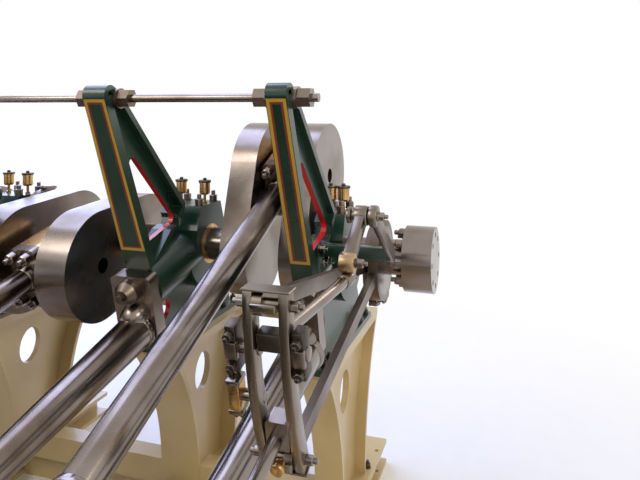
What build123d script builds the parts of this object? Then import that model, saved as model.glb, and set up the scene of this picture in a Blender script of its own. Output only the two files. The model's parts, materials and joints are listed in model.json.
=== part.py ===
import os
from math import asin, atan2, cos, degrees, radians, sin, sqrt

from build123d import *

os.makedirs("parts", exist_ok=True)

# Diagonal triple expansion steam engine. Millimetres, +Z up, floor at Z = 0.
# X runs along the crankshaft, +Y from the cylinders towards the crankshaft.

# Layout
shaft_height = 3000
incline = 14
outer_bay = 1720
centre_bay = 2500
high_shift = 210
base_rear = 1500
bed_margin = 450

# Crankshaft and running gear
crank_throw = 838
crank_angles = {"high": 54, "low": 174, "middle": 294}
rod_length = 4400
journal_radius = 180
pin_radius = 180
pin_bore = 80
high_gap = 360
low_gap = 600
middle_gap = 400
high_web = 290
low_web = 360
middle_web = 300
pin_end_radius = 580
shaft_end_radius = 520
running_gap = 20
shaft_end = 4000
coupling_radius = 330
coupling_width = 290
coupling_bolt_circle = 510
coupling_bolt_radius = 27
coupling_bolts = 8
big_end_length = 520
big_end_height = 640
big_end_corner = 60
tee_thickness = 110
rod_crank_radius = 130
rod_head_radius = 106
fork_base = 180
fork_eye_wall = 60

# Main frames
inner_face = 230
outer_face = 185
inner_flange = 288
outer_flange = 203
flange_depth = 100
flange_start = 160
frame_web = 55
rim_thickness = 55
tie_y = -1560
tie_z = 1620
tie_radius = 36
head_radius = 77
nose_forward = 91
nose_rise = 30
nose_radius = 90
rear_leg_y = -440
rear_leg_z = 480
corner_radius = 70
toe_gap = 15
palm_seat = 1050
inner_barrel = 240
outer_barrel = 142
foot_drop = 950
foot_thickness = 60
foot_width = 300
foot_front = -860
foot_rear = 900
inner_bearing = 460
outer_bearing = 300
brass_thickness = 40
housing_radius = 480
cap_half = 325
cap_height = 450
cap_shoulder = 200
cap_top_half = 230
joint_gap = 5
window_back = 240
window_drop = 420
window_rise = 198
window_jaw = 25
window_floor = 150
window_radius = 60
lower_hole_radius = 120
lower_hole_back = 210
lower_hole_lift = 390

# Oil cups and tie rod nuts
cup_inset = 80
cup_radius = 60
cup_height = 125
stem_radius = 16
stem_height = 100
lid_radius = 66
lid_height = 20
knob_height = 25
nut_across = 150
nut_height = 110
washer_radius = 92
washer_thickness = 45
tie_overhang = 60

# Columns
column_radius = 100
column_lift = -310
column_swell = 120
swell_length = 250
column_foot = 120
column_foot_height = 300
column_foot_proud = 50
inner_palm = 440
outer_palm = 330
palm_top = 210
palm_bottom = -435
palm_thickness = 150
palm_corner = 60
boss_radius = 145
boss_lift = -215
dome_radius = 120
dome_lift = 80
dome_rim = 90
dome_height = 70
stud_end_radius = 38
stud_end_length = 40

# Bed
girder_height = 300
girder_width = 420
girder_web = 60
girder_flange = 50
hold_down_radius = 25
hold_down_margin = 300
hold_down_inset = 60
cross_beam_width = 240
pedestal_web = 70
inner_rim = 460
outer_rim = 300
inner_seat = 500
outer_seat = 300
pedestal_rim_thickness = 50
pedestal_front_top = -800
pedestal_front_waist = -300
pedestal_front_bend = -370
pedestal_rear_waist = 650
pedestal_plate_margin = 150
oval_y = 160
oval_drop = 580
oval_width = 170
oval_height = 220
tie_beam_depth = 240
tie_beam_height = 280
tie_beam_flange = 40
tie_beam_inset = 20
rear_beam_depth = 180
rear_beam_height = 210

# Cylinders
stuffing_radius = 160
stuffing_length = 180
end_clearance = 82
cylinder_length = 2300
flange_thickness = 80
cover_thickness = 60
high_radius = 380
middle_radius = 570
low_radius = 870
flange_proud = 70
cover_dome = 60
cover_ribs = 8
rib_width = 40
chair_lead = 260
chair_width = 260
chair_lift = -150
chair_throat_drop = 180
chair_tail_inset = 250
chair_web = 80
chair_rim = 70
chair_hole_radius = 200
palm_plate = 80
palm_plate_inset = 200
palm_plate_gap = 10
piston_rod_radius = 80
chest_inset = 100
high_chest_radius = 260
middle_chest_radius = 300
chest_flange_proud = 40
port_inset = 150
port_length = 400
port_height = 180
low_chest_half = 920
low_chest_top = 1330
low_chest_depth = 850
low_chest_corner = 150
low_spindle_lift = 1080
nozzle_lift = 640
nozzle_radius = 170
pipe_radius = 130
pipe_flange_radius = 190
pipe_flange = 40
pipe_bend = 290
receiver_gap = 60
low_inlet_lift = 950
inlet_top = 900
inlet_bolt_circle = 320
inlet_bolt_radius = 13
inlet_bolts = 8
exhaust_radius = 220
exhaust_flange_radius = 300
exhaust_length = 360
exhaust_bolt_circle = 520
exhaust_bolts = 12

# Crossheads and guides
crosshead_length = 400
crosshead_height = 360
crosshead_width = 220
crosshead_corner = 40
gudgeon_radius = 100
fork_gap = 10
fork_cheek = 90
slipper_thickness = 90
slipper_length = 520
slipper_width = 360
guide_thickness = 130
guide_width = 420
guide_lead = 152
beam_depth = 200
beam_height = 220
collar_wall = 60

# Valve gear
gear_x = 3420
low_gear_x = -800
eccentric_throw = 120
eccentric_radius = 340
strap_thickness = 60
strap_lug_width = 70
strap_lug_length = 150
eccentric_width = 90
eccentric_pitch = 100
eccentric_lead = 115
rod_eye_radius = 70
rod_eye_width = 60
rod_depth = 110
link_distance = 2715
link_length = 1150
link_centre_lift = 575
link_bar_depth = 110
link_bar_width = 60
link_bar_pitch = 226
link_eye_radius = 78
link_end_margin = 50
link_pin_radius = 40
spindle_radius = 45
spindle_lift = 240
block_height = 200
block_width = 150
block_depth = 130
block_corner = 20
pivot_proud = 78
pivot_lift = 640
pivot_boss_radius = 58
pivot_block_width = 60
pivot_block_height = 160
lever_drop = 490
lever_width = 100
lever_thickness = 36
lever_pin_radius = 32
drag_link_depth = 64
drag_eye_radius = 62
side_gap = 8

frame_x = [
    -centre_bay / 2 - outer_bay,
    -centre_bay / 2,
    centre_bay / 2,
    centre_bay / 2 + outer_bay,
]
line_x = {
    "high": centre_bay / 2 + outer_bay / 2 + high_shift,
    "low": 0,
    "middle": -centre_bay / 2 - outer_bay / 2,
}
web_gaps = {"high": high_gap, "low": low_gap, "middle": middle_gap}
web_widths = {"high": high_web, "low": low_web, "middle": middle_web}
cylinder_radius = {"high": high_radius, "low": low_radius, "middle": middle_radius}
gear_lines = {"high": gear_x, "low": low_gear_x, "middle": -gear_x}
slope_cos = cos(radians(incline))
slope_sin = sin(radians(incline))
swing_radius = crank_throw + pin_end_radius

# Places along the engine axis, counted from the shaft
cylinder_start = (
    rod_length
    + crank_throw
    + crosshead_length / 2
    + stuffing_length
    + cover_thickness
    + end_clearance
)
cylinder_end = cylinder_start + cylinder_length
chair_start = cylinder_start - chair_lead
guide_start = rod_length - crank_throw - slipper_length / 2 - guide_lead
guide_end = cylinder_start - cover_thickness
chest_start = cylinder_start + chest_inset
chest_length = cylinder_length - 2 * chest_inset


def on_axis(distance, lift=0):
    """Side view point at a distance along the engine axis and a lift square to it."""
    return (
        -distance * slope_cos - lift * slope_sin,
        -distance * slope_sin + lift * slope_cos,
    )


def side(x):
    """Side view at x: local x runs aft, local y up, both from the shaft centre."""
    return Plane(origin=(x, 0, shaft_height), x_dir=(0, 1, 0), z_dir=(1, 0, 0))


def across(x, distance, lift=0):
    """Plane square to the engine axis, facing the cylinders, at a distance from the shaft."""
    y, z = on_axis(distance, lift)
    return Plane(
        origin=(x, y, shaft_height + z),
        x_dir=(1, 0, 0),
        z_dir=(0, -slope_cos, -slope_sin),
    )


def upward(x, distance, lift):
    """Plane along the engine axis that faces away from it, at a lift."""
    y, z = on_axis(distance, lift)
    return Plane(
        origin=(x, y, shaft_height + z),
        x_dir=(1, 0, 0),
        z_dir=(0, -slope_sin, slope_cos),
    )


def at_angle(radius, angle):
    """Side view point round the shaft, its angle counted from the engine axis."""
    return (
        radius * cos(radians(incline + angle)),
        radius * sin(radians(incline + angle)),
    )


def crosshead_distance(name):
    """Distance from the shaft to the gudgeon pin of one line."""
    angle = radians(crank_angles[name])
    rise = crank_throw * sin(angle)
    return sqrt(rod_length**2 - rise**2) - crank_throw * cos(angle)


def pick(x, inner, outer):
    """The inner or the outer frames' size, by the frame's place along the shaft."""
    return inner if abs(x) < frame_x[3] else outer


def save(part, name):
    part.label = name
    export_step(part, f"parts/{name}.step")


chair_bottom = girder_height - shaft_height
chair_throat = on_axis(chair_start, column_lift - chair_throat_drop)
chair_tail = on_axis(cylinder_end - chair_tail_inset, chair_lift)
base_front = chair_tail[0] - bed_margin
hold_down_x = 2 * frame_x[3] + girder_width - 2 * hold_down_inset
hold_down_y = base_rear - base_front - 2 * hold_down_margin

# The main frames' front face leans on the nose and toe circles
housing_bore = journal_radius + brass_thickness
palm_face = palm_seat + palm_thickness
nose = (tie_y - nose_forward, tie_z + nose_rise)
toe = on_axis(palm_seat - corner_radius, palm_top + toe_gap)
arm_length = sqrt((toe[0] - nose[0]) ** 2 + (toe[1] - nose[1]) ** 2)
front_lean = degrees(
    atan2(toe[0] - nose[0], nose[1] - toe[1])
    + asin((nose_radius - corner_radius) / arm_length)
)
lean_cos = cos(radians(front_lean))
lean_sin = sin(radians(front_lean))


def front_face(x):
    """The front face of a main frame, its origin at the nose and local y up the slope."""
    return Plane(
        origin=(
            x,
            nose[0] - nose_radius * lean_cos,
            shaft_height + nose[1] - nose_radius * lean_sin,
        ),
        x_dir=(1, 0, 0),
        z_dir=(0, -lean_cos, -lean_sin),
    )


def main_frame(x):
    """A-shaped casting: upper arm to the tie rod, barrel, bearing seat and foot."""
    face = pick(x, inner_face, outer_face)
    flange = pick(x, inner_flange, outer_flange)
    with BuildPart() as frame:
        with BuildSketch(side(x)) as arm:
            with Locations((tie_y, tie_z)):
                Circle(head_radius)
            with Locations(nose):
                Circle(nose_radius)
            with Locations((rear_leg_y, rear_leg_z), toe):
                Circle(corner_radius)
            make_hull()
        extrude(amount=frame_web / 2, both=True)
        with BuildSketch(side(x)):
            add(arm.sketch_local)
            offset(amount=-rim_thickness, mode=Mode.SUBTRACT)
            with Locations((tie_y, tie_z)):
                Circle(head_radius)
        extrude(amount=face / 2, both=True)
        # Front flange, wider towards the foot
        with BuildSketch(front_face(x)):
            with BuildLine():
                Polyline(
                    (-face / 2, 0),
                    (face / 2, 0),
                    (face / 2, -flange_start),
                    (flange / 2, toe_gap - arm_length),
                    (-flange / 2, toe_gap - arm_length),
                    (-face / 2, -flange_start),
                    close=True,
                )
            make_face()
        extrude(amount=-flange_depth)
        # Lower web down to the foot, bearing housing and barrel
        with BuildSketch(side(x)):
            with BuildLine():
                Polyline(
                    on_axis(palm_seat, palm_top),
                    on_axis(palm_seat, palm_bottom),
                    (foot_front, -foot_drop),
                    (foot_rear, -foot_drop),
                    (housing_radius, 0),
                    (-cap_half - joint_gap, 0),
                    (rear_leg_y + corner_radius, rear_leg_z),
                    close=True,
                )
            make_face()
        extrude(amount=frame_web / 2, both=True)
        with BuildSketch(side(x)):
            Circle(housing_radius)
            with Locations((0, housing_radius)):
                Rectangle(2 * housing_radius, 2 * housing_radius, mode=Mode.SUBTRACT)
        extrude(amount=pick(x, inner_bearing, outer_bearing) / 2, both=True)
        with BuildSketch(across(x, housing_bore)):
            Circle(pick(x, inner_barrel, outer_barrel))
        extrude(amount=palm_seat - housing_bore)
        with BuildSketch(Plane.XY.offset(shaft_height - foot_drop)):
            with Locations((x, (foot_front + foot_rear) / 2)):
                Rectangle(foot_width, foot_rear - foot_front)
        extrude(amount=foot_thickness)
        # Bearing bore, cap seat, windows and the tie rod's hole
        with BuildSketch(side(x)):
            Circle(housing_bore)
            with Locations((0, cap_height)):
                Rectangle(2 * (cap_half + joint_gap), 2 * cap_height)
            with Locations((tie_y, tie_z)):
                Circle(tie_radius)
            with Locations((foot_front + lower_hole_back, lower_hole_lift - foot_drop)):
                Circle(lower_hole_radius)
            with BuildLine():
                FilletPolyline(
                    (tie_y + window_back, tie_z - window_drop),
                    (toe[0], toe[1] + window_rise),
                    (rear_leg_y + window_jaw, rear_leg_z - window_floor),
                    radius=window_radius,
                    close=True,
                )
            make_face()
        extrude(amount=inner_bearing, both=True, mode=Mode.SUBTRACT)
    return frame.part


for number, x in enumerate(frame_x, start=1):
    save(main_frame(x), f"main_frame_{number}")


# Caps over the upper halves of the main bearings
with BuildPart() as caps:
    for x in frame_x:
        with BuildSketch(side(x)):
            with BuildLine():
                Polyline(
                    (-cap_half, 0),
                    (cap_half, 0),
                    (cap_half, cap_shoulder),
                    (cap_top_half, cap_height),
                    (-cap_top_half, cap_height),
                    (-cap_half, cap_shoulder),
                    close=True,
                )
            make_face()
            Circle(housing_bore, mode=Mode.SUBTRACT)
        extrude(amount=pick(x, inner_bearing, outer_bearing) / 2, both=True)
save(caps.part, "bearing_caps")

with BuildPart() as brasses:
    for x in frame_x:
        with BuildSketch(side(x)):
            Circle(housing_bore)
            Circle(journal_radius, mode=Mode.SUBTRACT)
        extrude(amount=pick(x, inner_bearing, outer_bearing) / 2, both=True)
save(brasses.part, "main_bearing_brasses")


def cup_plane(x):
    """Front view plane on top of a cap, its local y up."""
    return Plane(origin=(x, 0, shaft_height + cap_height), x_dir=(1, 0, 0), z_dir=(0, -1, 0))


# Oil cups: turned brass cups on thin stems, two on each cap
cup_top = stem_height + cup_height
lid_top = cup_top + lid_height
with BuildPart() as cups:
    for x in frame_x:
        reach = pick(x, inner_bearing, outer_bearing) / 2 - cup_inset
        for shift in (-reach, reach):
            with BuildSketch(cup_plane(x + shift)):
                with BuildLine():
                    Polyline(
                        (0, 0),
                        (stem_radius * 1.8, 0),
                        (stem_radius * 1.8, lid_height),
                        (stem_radius, lid_height * 1.5),
                        (stem_radius, stem_height),
                        (cup_radius * 0.8, stem_height),
                        (cup_radius, stem_height + lid_height),
                        (cup_radius, cup_top),
                        (lid_radius, cup_top),
                        (lid_radius, lid_top),
                        (stem_radius, lid_top),
                        (stem_radius, lid_top + knob_height),
                        (0, lid_top + knob_height),
                        close=True,
                    )
                make_face()
            revolve(axis=Axis((x + shift, 0, 0), (0, 0, 1)))
save(cups.part, "oil_cups")

# Tie rod through the four frame heads
tie_end = frame_x[3] + outer_face / 2 + washer_thickness + nut_height + tie_overhang
with BuildPart() as tie_rod:
    with BuildSketch(side(-tie_end)):
        with Locations((tie_y, tie_z)):
            Circle(tie_radius)
    extrude(amount=2 * tie_end)
save(tie_rod.part, "tie_rod")

# Nuts with washers on both sides of each head, and the domed nuts on the palms
with BuildPart() as nuts:
    for x in frame_x:
        for sign in (-1, 1):
            start = x + sign * pick(x, inner_face, outer_face) / 2
            with BuildSketch(side(start)):
                with Locations((tie_y, tie_z)):
                    Circle(washer_radius)
                    Circle(tie_radius, mode=Mode.SUBTRACT)
            extrude(amount=sign * washer_thickness)
            with BuildSketch(side(start + sign * washer_thickness)):
                with Locations((tie_y, tie_z)):
                    RegularPolygon(nut_across / 2, 6, major_radius=False)
                    Circle(tie_radius, mode=Mode.SUBTRACT)
            extrude(amount=sign * nut_height)
        with BuildSketch(across(x, palm_face, dome_lift)):
            Circle(dome_radius)
        extrude(amount=dome_rim)
        with BuildSketch(across(x, palm_face + dome_rim, dome_lift)):
            Circle(dome_radius)
        extrude(amount=dome_height, taper=35)
        with BuildSketch(across(x, palm_face + dome_rim + dome_height, dome_lift)):
            Circle(stud_end_radius)
        extrude(amount=stud_end_length)
save(nuts.part, "frame_nuts")


# Forged columns with a palm at each end, from the main frames to the cylinder chairs
with BuildPart() as columns:
    for x in frame_x:
        with BuildSketch(across(x, palm_seat)):
            with Locations((0, (palm_top + palm_bottom) / 2)):
                RectangleRounded(
                    pick(x, inner_palm, outer_palm), palm_top - palm_bottom, palm_corner
                )
        extrude(amount=palm_thickness)
        with Locations(across(x, palm_face, boss_lift)):
            Sphere(boss_radius)
        with BuildSketch(across(x, palm_face, column_lift)):
            Circle(column_swell)
        with BuildSketch(across(x, palm_face + swell_length, column_lift)):
            Circle(column_radius)
        loft()
        with BuildSketch(across(x, palm_face + swell_length, column_lift)):
            Circle(column_radius)
        extrude(amount=chair_start - palm_face - swell_length - column_foot)
        with BuildSketch(across(x, chair_start - column_foot, column_lift)):
            RectangleRounded(
                chair_width + 2 * column_foot_proud, column_foot_height, palm_corner
            )
        extrude(amount=column_foot)
save(columns.part, "columns")


def crank(name):
    """Two webs and the hollow pin between them."""
    x = line_x[name]
    gap = web_gaps[name]
    width = web_widths[name]
    pin = at_angle(crank_throw, crank_angles[name])
    with BuildPart() as webs:
        for start in (x - gap / 2 - width, x + gap / 2):
            with BuildSketch(side(start)):
                Circle(shaft_end_radius)
                with Locations(pin):
                    Circle(pin_end_radius)
                make_hull()
                Circle(journal_radius, mode=Mode.SUBTRACT)
            extrude(amount=width)
        with BuildSketch(side(x - gap / 2)):
            with Locations(pin):
                Circle(pin_radius)
        extrude(amount=gap)
        with BuildSketch(side(x - gap / 2 - width)):
            with Locations(pin):
                Circle(pin_bore)
        extrude(amount=gap + 2 * width, mode=Mode.SUBTRACT)
    return webs.part


for name in line_x:
    save(crank(name), f"{name}_pressure_crank")

# Shaft lengths between the webs, the outer two with coupling drums
high_inner = line_x["high"] - high_gap / 2
middle_inner = line_x["middle"] + middle_gap / 2
with BuildPart() as inner_shafts:
    for start, finish in ((low_gap / 2, high_inner), (-low_gap / 2, middle_inner)):
        with BuildSketch(side(start)):
            Circle(journal_radius)
        extrude(amount=finish - start)
save(inner_shafts.part, "inner_shafts")

with BuildPart() as outer_shafts:
    for sign, start in ((1, high_inner + high_gap), (-1, middle_inner - middle_gap)):
        with BuildSketch(side(start)):
            Circle(journal_radius)
        extrude(amount=sign * shaft_end - start)
        with BuildSketch(side(sign * (shaft_end - coupling_width))):
            Circle(coupling_radius)
            with PolarLocations(coupling_bolt_circle / 2, coupling_bolts):
                Circle(coupling_bolt_radius, mode=Mode.SUBTRACT)
        extrude(amount=sign * coupling_width)
save(outer_shafts.part, "outer_shafts")


def rod_plane(name, distance=0):
    """Plane square to a connecting rod, facing the crosshead, at a distance from the crank pin."""
    pin = at_angle(crank_throw, crank_angles[name])
    head = on_axis(crosshead_distance(name))
    run = ((head[0] - pin[0]) / rod_length, (head[1] - pin[1]) / rod_length)
    return Plane(
        origin=(line_x[name], pin[0] + run[0] * distance, shaft_height + pin[1] + run[1] * distance),
        x_dir=(1, 0, 0),
        z_dir=(0, run[0], run[1]),
    )


big_end_width = high_gap - 2 * running_gap
fork_clear = sqrt(crosshead_length**2 + crosshead_height**2) / 2 + running_gap
fork_root = fork_clear + fork_base
fork_depth = 2 * (fork_cheek + fork_eye_wall / 2)
cheek_inner = crosshead_width / 2 + fork_gap
cheek_outer = cheek_inner + fork_cheek


def connecting_rod(name):
    """Tapered round rod with a tee at the crank end and a fork at the crosshead."""
    tee = big_end_length / 2
    head = on_axis(crosshead_distance(name))
    with BuildPart() as rod:
        with BuildSketch(rod_plane(name, tee)):
            RectangleRounded(big_end_width, big_end_height, big_end_corner)
        extrude(amount=tee_thickness)
        with BuildSketch(rod_plane(name, tee + tee_thickness)):
            Circle(rod_crank_radius)
        with BuildSketch(rod_plane(name, rod_length - fork_root)):
            Circle(rod_head_radius)
        loft()
        with BuildSketch(rod_plane(name, rod_length - fork_root)):
            RectangleRounded(2 * cheek_outer, fork_depth, fork_eye_wall)
        extrude(amount=fork_base)
        for start in (-cheek_outer, cheek_inner):
            with BuildSketch(side(line_x[name] + start)):
                with Locations(head):
                    Circle(gudgeon_radius + fork_eye_wall)
            extrude(amount=fork_cheek)
            with BuildSketch(rod_plane(name, rod_length - fork_clear)):
                with Locations((start + fork_cheek / 2, 0)):
                    Rectangle(fork_cheek, fork_depth)
            extrude(amount=fork_clear)
        with BuildSketch(side(line_x[name] - cheek_outer)):
            with Locations(head):
                Circle(gudgeon_radius)
        extrude(amount=2 * cheek_outer, mode=Mode.SUBTRACT)
    return rod.part


for name in line_x:
    save(connecting_rod(name), f"{name}_pressure_rod")

with BuildPart() as pin_brasses:
    for name in line_x:
        with BuildSketch(rod_plane(name, -big_end_length / 2)):
            RectangleRounded(big_end_width, big_end_height, big_end_corner)
        extrude(amount=big_end_length)
        with BuildSketch(side(line_x[name] - big_end_width / 2)):
            with Locations(at_angle(crank_throw, crank_angles[name])):
                Circle(pin_radius)
        extrude(amount=big_end_width, mode=Mode.SUBTRACT)
save(pin_brasses.part, "crank_pin_brasses")

# Crossheads: a block and its gudgeon pin on a slipper
guide_lift = -crosshead_height / 2 - slipper_thickness
with BuildPart() as crossheads:
    for name, x in line_x.items():
        distance = crosshead_distance(name)
        with BuildSketch(across(x, distance - crosshead_length / 2)):
            RectangleRounded(crosshead_width, crosshead_height, crosshead_corner)
        extrude(amount=crosshead_length)
        with BuildSketch(side(x - cheek_outer)):
            with Locations(on_axis(distance)):
                Circle(gudgeon_radius)
        extrude(amount=2 * cheek_outer)
        with BuildSketch(across(x, distance - slipper_length / 2, guide_lift + slipper_thickness / 2)):
            Rectangle(slipper_width, slipper_thickness)
        extrude(amount=slipper_length)
save(crossheads.part, "crossheads")

with BuildPart() as piston_rods:
    for name in line_x:
        start = crosshead_distance(name) + crosshead_length / 2
        with BuildSketch(across(line_x[name], start)):
            Circle(piston_rod_radius)
        extrude(amount=cylinder_start - start)
save(piston_rods.part, "piston_rods")

with BuildPart() as guides:
    for name in line_x:
        with BuildSketch(across(line_x[name], guide_start, guide_lift - guide_thickness / 2)):
            Rectangle(guide_width, guide_thickness)
        extrude(amount=guide_end - guide_start)
save(guides.part, "guide_bars")

# Cross beams with collars round the columns, under the guide bars' crank ends
beam_bottom = guide_lift - guide_thickness - beam_height
collar_top = column_lift + column_radius + collar_wall
with BuildPart() as beams:
    with BuildSketch(across(0, guide_start, beam_bottom + beam_height / 2)):
        Rectangle(frame_x[3] - frame_x[0], beam_height)
    extrude(amount=beam_depth)
    for x in frame_x:
        with BuildSketch(across(x, guide_start)):
            with Locations((0, (collar_top + beam_bottom) / 2)):
                RectangleRounded(
                    2 * (column_radius + collar_wall), collar_top - beam_bottom, collar_wall
                )
        extrude(amount=beam_depth)
    for x in frame_x:
        with BuildSketch(across(x, guide_start, column_lift)):
            Circle(column_radius)
        extrude(amount=beam_depth, mode=Mode.SUBTRACT)
save(beams.part, "guide_beam")


# Pedestals: a web with a rim, a seat for the main frame and an oval window
pedestal_top = -foot_drop - foot_thickness
rear_beam_front = sqrt(swing_radius**2 - foot_drop**2) + running_gap
pedestal_rear_top = rear_beam_front + rear_beam_depth
pedestal_middle = (pedestal_top + chair_bottom) / 2


def pedestal(x):
    """Cast stand between the bed and a main frame's foot."""
    with BuildPart() as stand:
        with BuildSketch(side(x)) as outline:
            with BuildLine():
                Line((pedestal_front_top, pedestal_top), (pedestal_rear_top, pedestal_top))
                ThreePointArc(
                    (pedestal_rear_top, pedestal_top),
                    (0.8 * pedestal_rear_waist + 0.2 * pedestal_rear_top, pedestal_middle),
                    (pedestal_rear_waist, chair_bottom),
                )
                Line((pedestal_rear_waist, chair_bottom), (pedestal_front_waist, chair_bottom))
                ThreePointArc(
                    (pedestal_front_waist, chair_bottom),
                    (pedestal_front_bend, pedestal_middle),
                    (pedestal_front_top, pedestal_top),
                )
            make_face()
        extrude(amount=pedestal_web / 2, both=True)
        with BuildSketch(side(x)):
            add(outline.sketch_local)
            offset(amount=-pedestal_rim_thickness, mode=Mode.SUBTRACT)
        extrude(amount=pick(x, inner_rim, outer_rim) / 2, both=True)
        with BuildSketch(Plane.XY.offset(shaft_height + pedestal_top)):
            with Locations((x, (pedestal_front_top + pedestal_rear_top) / 2)):
                Rectangle(pick(x, inner_seat, outer_seat), pedestal_rear_top - pedestal_front_top)
        extrude(amount=foot_thickness)
        with BuildSketch(Plane.XY.offset(girder_height)):
            with Locations((x, (pedestal_front_waist + pedestal_rear_waist) / 2)):
                Rectangle(
                    girder_width,
                    pedestal_rear_waist - pedestal_front_waist + 2 * pedestal_plate_margin,
                )
        extrude(amount=pedestal_rim_thickness)
        with BuildSketch(side(x)):
            with Locations((oval_y, -foot_drop - oval_drop)):
                Ellipse(oval_width, oval_height, rotation=-incline)
        extrude(amount=pedestal_web, both=True, mode=Mode.SUBTRACT)
    return stand.part


for number, x in enumerate(frame_x, start=1):
    save(pedestal(x), f"pedestal_{number}")

with BuildPart() as girders:
    for x in frame_x:
        with BuildSketch(Plane.XZ.offset(-base_rear)):
            with Locations((x, girder_flange / 2), (x, girder_height - girder_flange / 2)):
                Rectangle(girder_width, girder_flange)
            with Locations((x, girder_height / 2)):
                Rectangle(girder_web, girder_height)
        extrude(amount=base_rear - base_front)
    # Holding-down bolt holes near the four corners of the bed
    with BuildSketch(Plane.XY):
        with Locations((0, (base_front + base_rear) / 2)):
            with GridLocations(hold_down_x, hold_down_y, 2, 2):
                Circle(hold_down_radius)
    extrude(amount=girder_height, mode=Mode.SUBTRACT)
save(girders.part, "bed_girders")

with BuildPart() as base_beams:
    for left, right in zip(frame_x[:-1], frame_x[1:]):
        span = right - left - girder_width
        for share in (0, 0.4, 0.8):
            with BuildSketch(Plane.XY):
                with Locations(((left + right) / 2, share * base_front)):
                    Rectangle(span, cross_beam_width)
            extrude(amount=girder_height)
save(base_beams.part, "base_cross_beams")

# Channel beams between the pedestals' feet, and box beams behind the cranks' swing
tie_beam_y = pedestal_front_waist + tie_beam_inset + tie_beam_depth / 2
tie_beam_z = chair_bottom + pedestal_rim_thickness + tie_beam_height / 2
with BuildPart() as pedestal_ties:
    for left, right in zip(frame_x[:-1], frame_x[1:]):
        start = left + pick(left, inner_rim, outer_rim) / 2
        finish = right - pick(right, inner_rim, outer_rim) / 2
        with BuildSketch(side(start)):
            with Locations((tie_beam_y, tie_beam_z)):
                Rectangle(tie_beam_depth, tie_beam_height)
            with Locations((tie_beam_y + tie_beam_flange, tie_beam_z)):
                Rectangle(
                    tie_beam_depth,
                    tie_beam_height - 2 * tie_beam_flange,
                    mode=Mode.SUBTRACT,
                )
        extrude(amount=finish - start)
        start = left + pick(left, inner_seat, outer_seat) / 2
        finish = right - pick(right, inner_seat, outer_seat) / 2
        with BuildSketch(side(start)):
            with Locations(
                (
                    pedestal_rear_top - rear_beam_depth / 2,
                    pedestal_top + foot_thickness - rear_beam_height / 2,
                )
            ):
                Rectangle(rear_beam_depth, rear_beam_height)
        extrude(amount=finish - start)
save(pedestal_ties.part, "pedestal_ties")


# Cast chairs on the bed girders that carry the cylinders' palms and the columns' feet
with BuildPart() as chairs:
    for x in frame_x:
        with BuildSketch(side(x)) as outline:
            with BuildLine():
                Polyline(
                    on_axis(chair_start, chair_lift),
                    chair_throat,
                    (chair_throat[0], chair_bottom),
                    (chair_tail[0], chair_bottom),
                    chair_tail,
                    close=True,
                )
            make_face()
        extrude(amount=chair_width / 2, both=True)
        for start in (-chair_width / 2, chair_web / 2):
            with BuildSketch(side(x + start)):
                add(outline.sketch_local)
                offset(amount=-chair_rim)
            extrude(amount=(chair_width - chair_web) / 2, mode=Mode.SUBTRACT)
        with BuildSketch(side(x)):
            for share in (0.3, 0.7):
                seat = on_axis(chair_start + share * (cylinder_end - chair_start), chair_lift)
                with Locations((seat[0], (seat[1] + chair_bottom) / 2)):
                    Circle(chair_hole_radius)
        extrude(amount=chair_web, both=True, mode=Mode.SUBTRACT)
save(chairs.part, "cylinder_chairs")

plate_spans = {
    "high": (frame_x[2] + palm_plate_gap / 2, frame_x[3] + chair_width / 2),
    "low": (frame_x[1] + palm_plate_gap / 2, frame_x[2] - palm_plate_gap / 2),
    "middle": (frame_x[0] - chair_width / 2, frame_x[1] - palm_plate_gap / 2),
}


def cylinder(name):
    """Lagged barrel with end flanges and a palm plate that rests on the chairs."""
    x = line_x[name]
    radius = cylinder_radius[name]
    left, right = plate_spans[name]
    with BuildPart() as barrel:
        with BuildSketch(across(x, cylinder_start)):
            Circle(radius)
        extrude(amount=cylinder_length)
        for start in (cylinder_start, cylinder_end - flange_thickness):
            with BuildSketch(across(x, start)):
                Circle(radius + flange_proud)
            extrude(amount=flange_thickness)
        with BuildSketch(
            across((left + right) / 2, cylinder_start + palm_plate_inset, chair_lift + palm_plate / 2)
        ):
            Rectangle(right - left, palm_plate)
        extrude(amount=cylinder_length - chair_tail_inset - palm_plate_inset)
    return barrel.part


for name in line_x:
    save(cylinder(name), f"{name}_pressure_cylinder")


# Covers: a plain one round each stuffing box, a ribbed and dished one at the other end
with BuildPart() as covers:
    for name, x in line_x.items():
        with BuildSketch(across(x, guide_end)):
            Circle(cylinder_radius[name] + flange_proud)
        extrude(amount=cover_thickness)
        with BuildSketch(across(x, guide_end - stuffing_length)):
            Circle(stuffing_radius)
        extrude(amount=stuffing_length)
        with BuildSketch(across(x, guide_end - stuffing_length)):
            Circle(piston_rod_radius)
        extrude(amount=cover_thickness + stuffing_length, mode=Mode.SUBTRACT)
    for name, x in line_x.items():
        dish = cylinder_radius[name] - flange_proud
        with BuildSketch(across(x, cylinder_end)):
            Circle(cylinder_radius[name] + flange_proud)
        extrude(amount=cover_thickness)
        with BuildSketch(across(x, cylinder_end + cover_thickness)):
            Circle(dish)
        extrude(amount=cover_dome, taper=45)
        with BuildSketch(across(x, cylinder_end + cover_thickness)):
            with PolarLocations(dish / 2, cover_ribs):
                Rectangle(dish, rib_width)
        extrude(amount=cover_dome)
save(covers.part, "cylinder_covers")

receiver_distance = chest_start + 0.7 * chest_length
inlet_distance = chest_start + 0.3 * chest_length


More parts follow.
